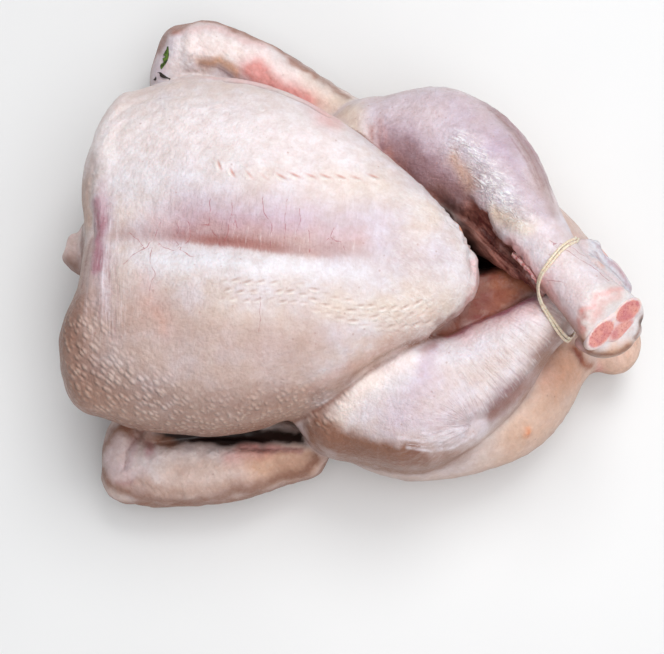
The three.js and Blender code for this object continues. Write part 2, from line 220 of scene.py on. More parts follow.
# Tones by part: path in x and y, half width, strength
# Besides the skin's own colours, these rows lay painted light, highlights and shade.
TONES = {
    "breast": {
        # lilac under the skin; the row along the front rim near x = -112 is a painted highlight
        "lilac": [
            ([(-76, 15), (-47, 15), (-21, 17), (7, 17)], 11, 0.6), ([(-73, 8), (-25, 11)], 6, 0.4),
            ([(-11, 3), (20, 4), (37, 5)], 8, 0.35), ([(-114, 25), (-112, 0), (-108, -33)], 4, 0.55),
            ([(-31, -38), (-4, -31)], 10, 0.25), ([(-84, 40), (-50, 60), (-20, 52)], 16, 0.12),
        ],
        "pink": [
            ([(-88, 10), (-60, 9), (-35, 8), (0, 8)], 6, 0.16),
            ([(-122, 78), (-108, 84), (-88, 88), (-64, 88), (-44, 83)], 2.5, 0.4),
            ([(-46, 110), (-17, 68)], 6, 0.5), ([(-90, -15), (-85, -28), (-78, -40)], 5, 0.1),
            ([(53, 6), (55.5, -1), (52, -12)], 2.0, 0.4),
        ],
        # partly the skin's pale colour; the rows along the front rim and just below the keel line are painted
        # highlights
        "white": [
            ([(-110, 8), (-109, -10), (-108, -32)], 1.8, 0.9),
            ([(-89, -8), (-58, -7), (-23, -6), (3, -5)], 6.5, 1.0),
            ([(-111, 50), (-74, 56), (-38, 56), (-15, 49)], 18, 0.6), ([(-98, 28), (-60, 34)], 12, 0.5),
            ([(7, 21), (13, 5)], 5, 0.8), ([(33, 8), (45, -3)], 9, 0.35),
            ([(37, 34), (41, 25), (48, 15), (53, 6)], 2.4, 0.8),
        ],
        "tan": [
            ([(-127, 25), (-122, 9)], 4, 0.6), ([(-114, 70), (-97, 79), (-64, 81)], 4, 0.2),
            ([(4, -43), (20, -30), (36, -20)], 5, 0.4),
            ([(-126, -45), (-118, -64), (-100, -74), (-63, -78), (-19, -67)], 6, 0.3),
            ([(-15, -57), (11, -43), (28, -31)], 4, 0.3),
        ],
        # painted shade on the breast's front, near and lower sides, and on the far wall of the keel groove
        "dusk": [
            ([(-122, -12), (-126, -35), (-128, -52), (-120, -67), (-105, -75)], 12, 0.9),
            ([(-105, -75), (-63, -78), (-19, -67)], 11, 0.55),
            ([(-103, -42), (-85, -54), (-58, -60), (-25, -58)], 14, 0.55),
            ([(-92, -28), (-70, -34), (-49, -38), (-18, -38)], 12, 0.62),
            ([(-70, 7), (-50, 6), (-20, 4), (0, 5)], 4, 0.35),
        ],
        # partly painted shade on the breast's front and lower rims and in its crease with the near drumstick
        "umber": [
            ([(-121, -26), (-124, -44), (-113, -59)], 8, 0.42),
            ([(-122, -30), (-118, -50), (-104, -64), (-70, -70), (-30, -66)], 8, 0.22),
            ([(-127, -30), (-129, -50), (-122, -64), (-113, -73), (-98, -78), (-60, -79),
             (-20, -72)], 3.5, 0.5), ([(-122, 40), (-125, 20), (-124, 2), (-126, -20)], 3, 0.35),
            ([(-14, -60), (3, -48), (23, -34), (36, -26.5), (46, -17)], 1.2, 0.6),
        ],
        "muscle_and_shade": [([(-105, 4), (-90, 5), (-76, 6)], 5, 0.4)],
        "cream": [
            ([(-9, -23), (22, -20), (39, -15)], 7, 0.5), ([(-10, 35), (17, 32), (31, 25)], 7, 0.4),
            ([(-58, -31), (-38, -31), (-21, -35)], 8, 0.35),
        ],
        "plum": [([(-115, 16), (-112, 2), (-111, -14)], 2.8, 0.75)],
        "orange": [([(-87, -26), (-82, -34), (-81, -40)], 2.5, 0.1)],
        # painted shade along the crease with the near drumstick
        "streak": [([(-14, -57), (3, -45), (20, -32)], 2.2, 0.3)],
        # painted light on the breast's upper far side and front rim
        "light": [
            ([(-111, 50), (-80, 54), (-40, 54), (-15, 46)], 20, 0.5),
            ([(-108, 76), (-120, 60), (-123, 40), (-124, 25)], 6, 0.4),
        ],
        "shadow": [([(-80, -82), (-60, -82), (-35, -80), (-15, -75)], 3, 0.4)],
    },
    "leg_left": {
        "lilac": [
            ([(15, 81), (38, 81), (61, 67)], 14, 0.42), ([(16, 62), (36, 44), (41, 24)], 12, 0.8),
            ([(61, 62), (76, 38), (83, 21)], 8, 0.4),
        ],
        "cream": [([(-10, 82), (-6, 68), (0, 52)], 6, 0.8), ([(61, 33), (68, 29), (75, 24)], 3.5, 0.9)],
        # partly painted shade on the far shank's underside and by the breast
        "umber": [
            ([(92, -16), (99, -24), (107, -30)], 3.0, 0.5),
            ([(61, 82), (74, 64), (82, 47), (86, 32)], 3, 0.3), ([(31, 43), (41, 37), (48, 33)], 5, 0.6),
        ],
        # partly painted shade on the far drumstick's side towards the breast and along its outer edge
        "muscle_and_shade": [
            ([(14, 62), (20, 54), (32, 44), (42, 37)], 9, 0.9), ([(21, 61), (36, 50), (46, 43)], 7, 0.5),
            ([(54, 91), (66, 82), (77, 66), (85, 50)], 4.5, 0.75),
        ],
        "plum": [([(60, 88), (71, 77), (80, 62)], 2, 0.3)],
        "rust": [([(12, 60), (22, 48), (30, 38.5)], 3.5, 0.35)],
        # partly painted glints over the far drumstick's crinkles
        "white": [
            ([(50, 60), (58, 49), (67, 38)], 6, 0.6), ([(43, 66), (53, 54), (61, 43), (70, 33)], 6, 0.7),
            ([(80, 22), (92, 8), (102, -6)], 12, 0.4),
        ],
        "tan": [([(61, 33), (66, 30)], 2.5, 0.2), ([(41, 57), (46, 50), (50, 43)], 3.0, 0.7)],
        "streak": [
            ([(2, 72), (4, 60), (9, 48)], 1.4, 0.6), ([(5, 76), (7, 66), (12, 49)], 1.4, 0.5),
            ([(9, 71), (12, 61), (17, 47)], 1.4, 0.5),
        ],
        "pink": [([(86, 2), (98, -10)], 5, 0.15)],
        # painted light on the far shank and on the far drumstick's top
        "light": [([(80, 22), (92, 8), (102, -6)], 9, 0.45), ([(14, 80), (30, 78)], 9, 0.25)],
    },
    "leg_right": {
        "cream": [([(-2, -66), (3, -57), (12, -47)], 5, 0.9)],
        # painted light by the breast's crease, and painted glints low on the near drumstick
        "white": [
            ([(2, -58), (14, -47), (28, -37), (38, -31)], 7, 0.9),
            ([(21, -43), (38, -33), (59, -24), (77, -17)], 9, 0.8),
            ([(36, -69), (45, -72), (58, -73)], 3, 0.6), ([(120, 13), (125, 6)], 1.6, 0.8),
        ],
        # painted shade along the near drumstick's lower edge and by its knee
        "dusk": [
            ([(-12, -66), (-6, -60), (0, -52)], 4, 0.8),
            ([(-4, -73), (15, -79), (40, -80), (62, -75)], 5, 0.8),
        ],
        # painted shade along the near drumstick's lower edge and its crease
        "umber": [
            ([(-14, -66), (-8, -62), (-3, -66)], 4, 0.4),
            ([(-11, -72), (2, -79), (20, -83), (44, -84), (60, -79)], 5.0, 0.9),
            ([(-10, -70), (4, -74), (16, -77), (32, -79)], 4.5, 0.75),
            ([(69, -59), (76, -52), (85, -40.5), (91, -30)], 4.2, 0.6),
            ([(22, -82), (40, -83), (56, -79)], 6, 0.4), ([(86, -30), (91, -24), (95, -19)], 5, 0.6),
        ],
        "lilac": [
            ([(24, -66), (32, -53), (39, -46)], 8, 0.45), ([(34, -42), (39, -32)], 4, 0.5),
            ([(40, -66), (56, -62)], 9, 0.4), ([(107, 19), (113, 14), (118, 8), (124, 3)], 1.2, 0.7),
        ],
        # painted shade along the near drumstick's crease with the thigh
        "muscle_and_shade": [
            ([(70, -57), (80, -46), (88, -34), (94, -24)], 4, 0.5),
            ([(68, -58), (74, -51), (79, -45)], 5, 0.6),
        ],
        "plum": [
            ([(46, -24), (55.5, -17.5), (62.3, -13.5), (68.8, -10), (75.3, -6.5), (82, -4)], 2.6, 1.0),
            ([(108, 22), (112, 19), (118, 12), (124, 5)], 0.9, 0.5),
        ],
        "red": [
            ([(50, -18), (62, -11), (69, -7), (82, -1)], 1.0, 0.5), ([(112, 22.3), (113, 21.3)], 1.0, 1.0),
        ],
        "pink": [([(52, -22), (68, -15), (83, -7)], 5, 0.35), ([(117, 15.5), (121, 10)], 1.6, 0.35)],
        "orange": [([(109.4, 13.2), (110.2, 12)], 1.6, 0.9)],
        # painted light on the near drumstick by its knee
        "light": [([(-2, -64), (4, -56), (14, -46), (26, -38)], 5, 0.75)],
    },
    "thigh_right": {
        # painted shade in the thigh's crease
        "umber": [([(84, -43), (92, -31), (98, -22)], 4, 0.5)],
        "tan": [([(82, -68), (95, -52), (108, -33), (99, -23)], 16, 0.62)],
        "orange": [([(96, -36), (104, -30)], 8, 0.4), ([(87, -61.5), (87, -62.5)], 1.5, 1.0)],
        "cream": [([(80, -66), (96, -48), (106, -34)], 10, 0.45)],
        "rust": [([(106, -20), (112, -25), (117, -27)], 2.2, 1.0)],
        "red": [([(106, -21), (111, -25)], 1.6, 0.7)],
        # painted shade along the thigh's side of that crease
        "muscle_and_shade": [([(80, -45), (90, -32), (98, -22)], 4, 0.4)],
        "white": [([(60, -72), (70, -66)], 7, 0.6)],
    },
    "carcass": {
        "rust": [([(106, -20), (112, -25), (117, -27)], 2.2, 1.0)],
        "shadow": [([(-80, -76), (-60, -76), (-35, -74), (-15, -72)], 12, 0.9)],
    },
    "tail": {
        "rust": [([(106, -20), (112, -25), (117, -27)], 2.0, 0.9)],
        "pink": [([(107, -20), (113, -24), (119, -26)], 3.5, 0.7)],
        "streak": [([(109, -21), (113, -24), (118, -25)], 2.4, 0.8)],
        "white": [([(121, -25), (131, -26)], 2, 0.4)],
        # painted light on the tail
        "light": [([(118, -8), (130, -14)], 10, 0.55)],
    },
    "thigh_left": {
        "muscle_and_shade": [([(96, 42), (108, 24)], 8, 0.2)],
    },
    "wing_left": {
        "umber": [
            ([(-106, 112), (-103, 123), (-88, 129), (-74, 128), (-50, 120), (-28, 107),
             (-12, 94)], 2.2, 0.7),
        ],
        "rust": [([(-100, 122), (-88, 127.5), (-74, 127), (-50, 118), (-28, 105)], 1.8, 0.6)],
        "pink": [
            ([(-98, 122), (-74, 123), (-55, 117)], 2.5, 0.3),
            ([(-57, 103), (-47, 98), (-39, 94), (-30, 89)], 6, 1.0), ([(-62, 106), (-51, 101)], 5, 0.2),
        ],
        # painted light along the far wing's middle
        "light": [
            ([(-90, 114), (-73, 114), (-56, 110), (-42, 103)], 7, 1.0), ([(-40, 101), (-22, 95)], 4, 0.3),
        ],
        "white": [
            ([(-90, 114), (-73, 113), (-56, 109), (-44, 103)], 9, 0.9),
            ([(-102, 109), (-101, 117)], 3.5, 0.4),
        ],
        "tan": [([(-83, 107), (-76, 107), (-66, 102)], 3, 1.0), ([(-30, 91), (-17, 84)], 4, 0.5)],
        "lilac": [
            ([(-104, 100), (-104, 111), (-101, 119)], 6, 0.5),
            ([(-75, 97), (-60, 90), (-49, 86), (-40, 83)], 3, 0.9),
        ],
        "cream": [([(-35, 100), (-22, 93), (-12, 89)], 8, 0.8)],
    },
    "wing_right": {
        # painted light on the near wing's hand and forearm
        "light": [([(-104, -86), (-98, -94)], 6, 0.35), ([(-92, -93), (-74, -92), (-54, -89)], 5, 0.35)],
        "shadow": [
            ([(-88, -73), (-80, -77), (-65, -77), (-49, -75.5), (-33, -74), (-19, -73),
             (-10, -74)], 3.4, 1.5),
        ],
        "streak": [([(-46, -79.5), (-36, -79.5), (-19, -79.5)], 1.8, 0.9)],
        # the near wing's brown edges, partly painted shade
        "umber": [
            ([(-26, -88), (-16, -86), (-8, -82)], 5, 0.4),
            ([(-113, -88), (-109, -77), (-102, -73)], 2.8, 0.8), ([(-83, -80), (-78, -81.5)], 3.4, 0.6),
            ([(-100, -76), (-90, -80), (-79, -81)], 4, 0.75),
            ([(-114, -93), (-107, -103), (-92, -108), (-66, -108), (-38, -99), (-14, -89),
             (-8, -80)], 3, 0.8),
        ],
        "lilac": [
            ([(-107, -84), (-105, -94), (-94, -97)], 7, 0.6),
            ([(-98, -77), (-97, -84), (-99, -93)], 2.6, 0.7),
        ],
        "white": [
            ([(-108, -82), (-106, -92), (-96, -97)], 5, 0.6),
            ([(-92, -93), (-74, -93), (-54, -90)], 6, 0.8), ([(-69.2, -85), (-68.8, -85)], 1.8, 0.8),
            ([(-59, -84.7), (-58.4, -84.7)], 1.8, 0.8), ([(-49.2, -84), (-48.6, -84)], 1.8, 0.8),
            ([(-34, -83.4), (-33.4, -83.4)], 1.8, 0.8),
        ],
        "plum": [([(-89, -85), (-87, -88)], 2.2, 0.6), ([(-102, -101), (-97, -100)], 2.5, 0.35)],
        "tan": [([(-76, -94), (-60, -92), (-45, -89)], 6, 0.45), ([(-34, -87), (-14, -84)], 8, 1.0)],
        "red": [([(-92, -82), (-87, -85)], 1.6, 0.45)],
        "pink": [([(-52, -85), (-34, -81)], 4, 0.5)],
        # painted shade along the near wing's lower edge
        "dusk": [([(-98, -101), (-80, -103), (-60, -101), (-40, -96), (-20, -91)], 4, 0.8)],
    },
    "neck": {
        # painted light on the neck's stub
        "light": [([(-134, 14), (-138, 5)], 8, 1.0)],
        # painted shade under the neck's stub
        "umber": [([(-140, -1), (-133, -4), (-124, -8)], 4, 0.8)],
    },
}

# Folds of the skin: path in x and y, half width, height
FOLDS = {
    "breast": [
        ([(-121, 35), (-121, 16), (-117, 2)], 1.8, -0.8),
        ([(-118, 22), (-113, 10), (-110, -1), (-110, -22), (-108, -35)], 1.8, 0.6),
        ([(-117, 4), (-118, -8), (-118, -21)], 1.6, -0.5),
        ([(-120, 48), (-113, 63), (-100, 71), (-77, 73)], 1.5, -0.6),
        ([(-115, 42), (-108, 57), (-94, 65), (-67, 70)], 1.5, -0.4),
        ([(-110, 36), (-103, 50), (-91, 60), (-62, 64)], 1.5, -0.3),
        ([(-120, -40), (-117, -57), (-108, -68)], 2.0, -0.4),
        ([(-67, 84), (-55, 83.5), (-43, 81), (-30, 76.5), (-18, 71)], 1.3, -0.8),
        ([(-100, 80), (-86, 83), (-70, 80)], 1.5, -0.5),
    ],
    "wing_left": [
        ([(-95, 119), (-95, 114), (-95, 108), (-93, 100)], 1.6, -0.6), ([(-91, 122), (-90, 110)], 2.5, 0.8),
        ([(-84, 104), (-76, 103), (-66, 98), (-50, 91), (-36, 86)], 1.6, -1.6),
        ([(-82, 109), (-70, 107), (-58, 101)], 2.0, 0.6),
    ],
    "wing_right": [
        ([(-93, -76), (-97, -80), (-100, -86), (-100, -94)], 1.6, -1.5),
        ([(-46, -80), (-32, -79), (-18, -78)], 1.3, -1.0), ([(-44, -83), (-22, -82)], 1.5, 0.6),
        ([(-100, -101), (-95, -99), (-86, -104), (-71, -105)], 1.4, -0.8),
        ([(-91, -85.5), (-91, -86.5)], 1.8, 0.9), ([(-68.8, -85), (-69.2, -85)], 1.8, 1.2),
        ([(-58.4, -84.7), (-59, -84.7)], 1.8, 1.1), ([(-48.6, -84), (-49.2, -84)], 1.8, 1.2),
        ([(-33.4, -83.4), (-34, -83.4)], 1.8, 1.2),
    ],
    "thigh_right": [([(87, -62), (87, -63)], 1.5, 1.3)],
    "leg_left": [
        ([(-1, 77), (2, 66), (6, 50)], 1.5, -0.6), ([(4, 75), (6, 65), (11, 49)], 1.3, -0.5),
        ([(71, 53), (80, 41), (85, 26), (88, 18)], 1.5, -0.5), ([(-3, 81), (0, 57), (8, 44)], 3.0, 0.7),
        ([(41, 66), (53, 54), (62, 40), (72, 30)], 5.0, 0.8), ([(35, 54), (46, 43), (54, 35)], 4.0, -0.8),
    ],
}
# Rows of follicles: a path in x and y and half the band's width. The pattern is the pitch along and across,
# half the length and half the width of a mark, its slope, and the change of the slope along the row.
FOLLICLE_ROWS = {
    "row_a": {
        "path": [(-66, 36), (-53, 32.7), (-38.8, 32.7), (-23.7, 35.3), (-9.3, 37.6), (10, 38.5)], "half": 3.6,
        "pattern": (6.8, 6.0, 2.4, 0.6, -0.87, 0.009), "ink": 0.62, "colour": (208, 136, 120),
    },
    "row_b": {
        "path": [(-56, -20), (-39.4, -18.5), (-22.4, -17.5), (-9, -21), (13, -23.5), (40, -17)], "half": 6.2,
        "pattern": (5.4, 4.0, 2.0, 0.5, 0.3, 0.0), "ink": 0.5, "colour": (188, 148, 134),
    },
}
# Goose skin: part, path in x and y, half width, strength
GOOSE_SKIN = [
    ("breast", [(-126, -42), (-118, -62), (-100, -72), (-63, -76), (-30, -72)], 11, 1.0),
    ("breast", [(-116, -34), (-104, -52), (-84, -64)], 10, 0.6),
    ("breast", [(-28, -68), (-12, -60)], 8, 0.8),
    ("breast", [(-122, 30), (-122, 12)], 7, 0.4),
    ("leg_right", [(-10, -68), (-4, -60), (-2, -54)], 6, 0.9),
]
# The keel's dark line is partly redder skin and partly painted shade of the groove's wall.
# The dark line along the keel: its path in x and y, and its strength along the path in millimetres
GROOVE_LINE = {
    "path": [
        (-110, 0), (-95, 0), (-79, 1.2), (-70, 0.6), (-61, 0.2),
        (-48, 0), (-35, -1), (-22, -1), (-7, 0), (6, 1),
    ],
    "strength": [
        (0, 0), (6, 0.15), (26, 0.25), (37, 0.7), (46, 1),
        (62, 1), (75, 0.8), (88, 0.4), (103, 0.2), (116, 0),
    ],
}
# Fine lines of the skin: half width, how far they wobble, and paths in x and y by part. The pale and the dark
# lines also have a colour, a strength and a height. The pale lines are painted glints, and the dark lines
# are partly painted shade in the creases of folds.
FINE_LINES = {
    "vessel": {
        "half": 1.0, "wobble": 0.9,
        "paths": {
            "breast": [
                [(-64.6, 19), (-64.1, 9.9), (-63.5, 8.6), (-60.8, 3.2), (-58.2, -0.9)],
                [(-64.1, 9.9), (-64.8, 8.5), (-67.5, 8)],
                [(-55.2, 19), (-54.9, 10.4), (-56.4, 3.5), (-57.6, -0.6)],
                [(-54.8, 14.7), (-53, 13.5), (-51.8, 9.2)], [(-42.2, 22), (-41, 16), (-37.8, 10.7), (-37, 2)],
                [(-31.7, 22), (-31.9, 13), (-31.5, 6.9)], [(-25.8, 18), (-25.4, 13), (-26.4, 6.4)],
                [(-21.2, 9.4), (-20.6, 6), (-19.8, 1.4)], [(-10.6, 11.6), (-11.5, 7.8), (-12.7, 6.4)],
                [(-11.5, 7.8), (-9.7, 7.1), (-6.6, 6.6), (-5.1, 3.5)], [(-75, 10), (-72, 6), (-73.5, 1)],
                [(-86, 8), (-88, 2), (-92, -3), (-97, -6), (-100, -10)], [(-92, -3), (-95, 1), (-99, 3)],
                [(-86, 0), (-80, -4), (-76, -3), (-70, -6), (-66, -5)],
                [(-89, -2), (-89, -9), (-86, -14), (-87, -22)], [(-78, 8), (-79, 2), (-76, -2)],
                [(-39.5, -22), (-38.6, -28), (-38.4, -35)],
            ],
            "leg_left": [
                [(88, 16), (96, 12.5), (104, 8), (111, 2)], [(86, 18.5), (95, 16), (105, 11.5)],
                [(86, 0), (92, -1)],
            ],
        },
    },
    # painted glints
    "pale": {
        "half": 1.2, "wobble": 0.2, "colour": (248, 240, 248), "strength": 0.55, "rise": 0.06,
        "paths": {
            "leg_right": [
                [(28, -73), (38, -73.5), (48, -71), (57, -66)],
                [(32, -76.5), (42, -77), (52, -74.5), (60, -69)],
                [(38, -70), (46, -69.5), (54, -66)],
            ],
            "leg_left": [[(84, 17), (93, 11), (103, 3)]],
        },
    },
    "dark": {
        "half": 1.0, "wobble": 0.2, "colour": (150, 104, 102), "strength": 0.42, "rise": -0.06,
        "paths": {
            "breast": [
                [(-117, 6), (-119, -8), (-120, -20)], [(-116, 13), (-113, 2)],
                [(-67, 84), (-55, 83.5), (-43, 81), (-30, 76.5), (-18, 71)],
            ],
            "wing_left": [[(-84, 104), (-76, 103), (-66, 98), (-50, 91), (-36, 86)]],
            "wing_right": [
                [(-93, -76), (-97, -80), (-100, -86), (-100, -94)], [(-46, -80), (-32, -79), (-18, -78)],
            ],
            "leg_right": [
                [(45, -22), (55.5, -16), (62.3, -12.5), (68.8, -8.5), (75.3, -5), (82, -2)],
                [(108, 18), (112, 14.5), (116, 9.5), (122, 4.5)],
            ],
            "leg_left": [
                [(48, 93), (62, 85), (74, 71), (82, 55), (87, 40)], [(56, 85), (67, 75), (76, 61), (82, 47)],
                [(66, 70), (74, 58), (80, 45)],
            ],
        },
    },
}
# The elastic band's loop and strands, and the paths of the thin things that lie on the skin
BAND_LOOP = [
    [95.5, 18.5, 87], [90, 14.5, 97.5], [85, 7, 98], [82, 1, 91], [83.5, -5.5, 84], [88.5, -12, 82],
    [93.5, -18.5, 79.5], [99, -20.5, 70], [104, -12, 58], [107, 2, 56], [105, 16, 62], [100.5, 22, 76],
]
BAND = {"half_wide": 0.66, "half_thick": 0.55, "apart": 0.8, "rings": 320, "sides": 12, "rounds": 14}
TORN_RIM = [(71.5, 14.5, 81), (75, 10.5, 85), (79, 5.5, 88), (82.5, 1, 88.5)]
LEAF_PATH = [(-101.6, 112.6, 43), (-100.6, 108, 43), (-101, 104.5, 42), (-103.4, 101, 41)]
STEM_PATH = [(-107.4, 96.8, 37), (-105.6, 99.4, 38), (-103, 99.9, 39), (-101, 98.4, 39), (-98.6, 97.2, 39)]
# The crease of the near drumstick, with the wrinkles that run out from it
FAN = {
    "path": [(60, -64), (67, -59.5), (76, -50.5), (85, -38.5), (93, -26.5), (97, -18)],
    "lines": 14, "pitch": 1.25, "reach": 46,
}
# Paths of the far drumstick's glossy crinkles, which carry painted glints
CRINKLES = [[(44, 64), (51, 57), (58, 48)], [(58, 44), (66, 37), (73, 30)]]
LOWER_LEG = [(10, 62), (25, 50), (40, 40), (50, 34)]
# The vent: its gap, the shadows under the breast's edge, and the edge of the torn skin
VENT_GAP = [(34, 39), (42, 31), (48, 24), (54, 16)]
BREAST_SHADE = [(40, 34), (45, 28), (51, 20.5), (57, 13)]
TIP_SHADE = [(57, 6), (58.5, -3), (56, -10), (50, -16), (42, -24)]
FLAP_LINE = [(45, -24), (55, -17), (63, -13)]
PIT = [(34, -33), (42, -25), (48, -20)]
TORN_EDGE = [(48, 42), (54, 35), (58, 32), (63, 24), (69, 18), (73, 13), (79, 5), (83, -1)]
# The breast's edge over the vent: where it is lumpy with fat, and where softly so
EDGE_LUMPS = [(40, 30), (44, 25), (48, 19), (53, 9)]
SOFT_LUMPS = [(25, 45), (37, 34), (53, 9), (55, -1), (51, -11), (36, -26)]
# Pairs of parts that meet in a dark line of painted shade, and its strength
SEAMS = [
    ("breast", "leg_right", 0.55), ("breast", "leg_left", 0.7), ("breast", "wing_left", 0.6),
    ("breast", "wing_right", 0.8), ("leg_right", "flap", 0.9), ("neck", "breast", 0.5),
]


def smoothstep(value, start, end):
    share = np.clip((value - start) / (end - start), 0, 1)
    return share * share * (3 - 2 * share)


def bump(distance, half):
    return np.exp(-((distance / half) ** 2))


# Curves and forms


def hermite(before, here, there, after, w):
    """The smooth way from here to there, at the share w of it, with the points before and after them."""
    leave, arrive = (there - before) / 2, (after - here) / 2
    return (
        (2 * w**3 - 3 * w**2 + 1) * here
        + (w**3 - 2 * w**2 + w) * leave
        + (3 * w**2 - 2 * w**3) * there
        + (w**3 - w**2) * arrive
    )


def curve(stations, t):
    """The smooth curve through the stations, at the shares t of its way."""
    points = np.asarray(stations, float)
    last = len(points) - 1
    padded = np.vstack([2 * points[0] - points[1], points, 2 * points[-1] - points[-2]])
    at = np.clip(t, 0, 1) * last
    i = np.minimum(at.astype(int), last - 1)
    return hermite(padded[i], padded[i + 1], padded[i + 2], padded[i + 3], (at - i)[:, None])


def loop_points(stations, count):
    """A smooth closed curve through the stations."""
    points = np.asarray(stations, float)
    number = len(points)
    at = np.arange(count) / count * number
    i = at.astype(int)
    return hermite(*(points[(i + shift) % number] for shift in (-1, 0, 1, 2)), (at - i)[:, None])


def unit(vectors):
    return vectors / np.linalg.norm(vectors, axis=1)[:, None]


class Limb:
    """An oval section that follows stations of x, y, z, half width, half depth, with rounded ends."""

    def __init__(self, stations, caps=(1.0, 1.0), squareness=2.0, steps=24):
        table = curve(stations, np.linspace(0, 1, steps))
        self.path, self.size = table[:, :3], table[:, 3:5]
        self.caps, self.squareness, self.steps = caps, squareness, steps
        self.along = unit(np.gradient(self.path, axis=0))
        reach = self.size.max() * 1.2 + FAR * 0.7
        self.low, self.high = self.path.min(0) - reach, self.path.max(0) + reach

    def locate(self, points):
        """For each point: its share of the way, its offsets across, up and along, and the half sizes."""
        best = np.full(len(points), np.inf)
        at = np.zeros(len(points))
        for i in range(self.steps - 1):
            start, step = self.path[i], self.path[i + 1] - self.path[i]
            offset = points - start
            w = np.clip(offset @ step / (step @ step), 0, 1)
            away = ((offset - w[:, None] * step) ** 2).sum(1)
            nearer = away < best
            best[nearer] = away[nearer]
            at[nearer] = i + w[nearer]
        i = np.minimum(at.astype(int), self.steps - 2)
        w = (at - i)[:, None]
        centre = self.path[i] * (1 - w) + self.path[i + 1] * w
        along = unit(self.along[i] * (1 - w) + self.along[i + 1] * w)
        size = self.size[i] * (1 - w) + self.size[i + 1] * w
        up = unit(np.array([0.0, 0.0, 1.0]) - along * along[:, 2:])
        across = np.cross(along, up)
        offset = points - centre
        offsets = [(offset * way).sum(1) for way in (across, up, along)]
        return at / (self.steps - 1), *offsets, size[:, 0], size[:, 1]

    def __call__(self, points):
        """About the distance of each point from the surface, below 0 inside."""
        result = np.full(len(points), FAR)
        near = ((points > self.low) & (points < self.high)).all(1)
        if near.any():
            t, u, v, beyond, half_width, half_depth = self.locate(points[near])
            p = self.squareness
            section = (np.abs(u / half_width) ** p + np.abs(v / half_depth) ** p) ** (1 / p)
            cap = np.where(beyond < 0, self.caps[0], self.caps[1]) * (half_width + half_depth) / 2
            past = np.where((t > 0.001) & (t < 0.999), 0, beyond)
            whole = np.sqrt(section**2 + (past / cap) ** 2)
            length = np.sqrt(u**2 + v**2 + past**2)
            result[near] = np.minimum(length * (1 - 1 / np.maximum(whole, 0.05)), FAR)
        return result


class Trunk:
    """Sections square to X, with a different height above and below their widest line."""

    def __init__(self, stations, caps, squareness, blunt=1.0):
        table = curve(stations, np.linspace(0, 1, 80))
        self.x, self.table = table[:, 0], table[:, 1:]
        self.caps, self.squareness, self.blunt = caps, squareness, blunt

    def __call__(self, points):
        x = np.clip(points[:, 0], self.x[0], self.x[-1])
        middle_y, middle_z, half, up, down = (np.interp(x, self.x, column) for column in self.table.T)
        beyond = points[:, 0] - x
        dy, dz = points[:, 1] - middle_y, points[:, 2] - middle_z
        height = np.where(dz > 0, up, down)
        p = self.squareness
        section = (np.abs(dy / half) ** p + np.abs(dz / height) ** p) ** (1 / p)
        blunt = np.where(beyond < 0, self.blunt, 1.0)
        past = np.abs(beyond) / np.where(beyond < 0, self.caps[0], self.caps[1])
        whole = (section ** (2 / blunt) + past**2) ** (blunt / 2)
        length = np.sqrt(beyond**2 + dy**2 + dz**2)
        return np.clip(length * (1 - 1 / np.maximum(whole, 0.05)), -FAR, FAR)


def oval(points, at, half, turn=0.0):
    """About the distance from an oval ball that is turned about the vertical."""
    offset = points - np.array(at)
    cosine, sine = math.cos(turn), math.sin(turn)
    local = np.stack([
        offset[:, 0] * cosine + offset[:, 1] * sine,
        offset[:, 1] * cosine - offset[:, 0] * sine,
        offset[:, 2],
    ], 1)
    share = np.linalg.norm(local / np.array(half), axis=1)
    return np.linalg.norm(local, axis=1) * (1 - 1 / np.maximum(share, 0.05))


def join(a, b, reach):
    """Two forms joined with a fillet: reach is how far from their crossing they start to merge."""
    share = np.clip(1 - np.abs(a - b) / reach, 0, 1)
    return np.minimum(a, b) - reach * share**2 / 4


def cut(a, b, reach):
    """The first form without the second, with a rounded edge."""
    return -join(-a, b, reach)


# The bird's form

carcass_form = Trunk(CARCASS, (20, 22), 2.6)
breast_form = Trunk(BREAST, (20, 3.5), 2.3, 0.65)
neck_form = Limb(NECK)
tail_form = Limb(TAIL)
flap_form = Limb(BELLY_FLAP)
thigh_forms = {side: Limb(THIGHS[side]) for side in THIGHS}
drumstick_forms = {
    side: Limb(DRUMSTICKS[side], (1.0, HOCK_CAPS[side]), 2.15, steps=40) for side in DRUMSTICKS
}
upper_wing_forms = {side: Limb(UPPER_WINGS[side]) for side in UPPER_WINGS}
forearm_forms = {side: Limb(FOREARMS[side], squareness=2.4) for side in FOREARMS}
hand_forms = {side: Limb(HANDS[side]) for side in HANDS}
web_form = Limb(HOCK_WEB)
lobe_forms = [Limb(stations) for stations in HOCK_LOBES]
wall_form = Limb(VENT_WALL)
strand_form = Limb(MEAT_STRAND)
fold_form = Limb(LEG_FOLD)
fat_form = Limb(EDGE_FAT)


def cut_depth(points, side):
    """How far each point lies beyond the cut through a drumstick's end."""
    place, way = HOCK_CUTS[side]
    way = np.array(way) / np.linalg.norm(way)
    return (points - np.array(place)) @ way


def drumstick_at(points, side):
    form = drumstick_forms[side](points)
    return -join(-form, -cut_depth(points, side), 3.5)


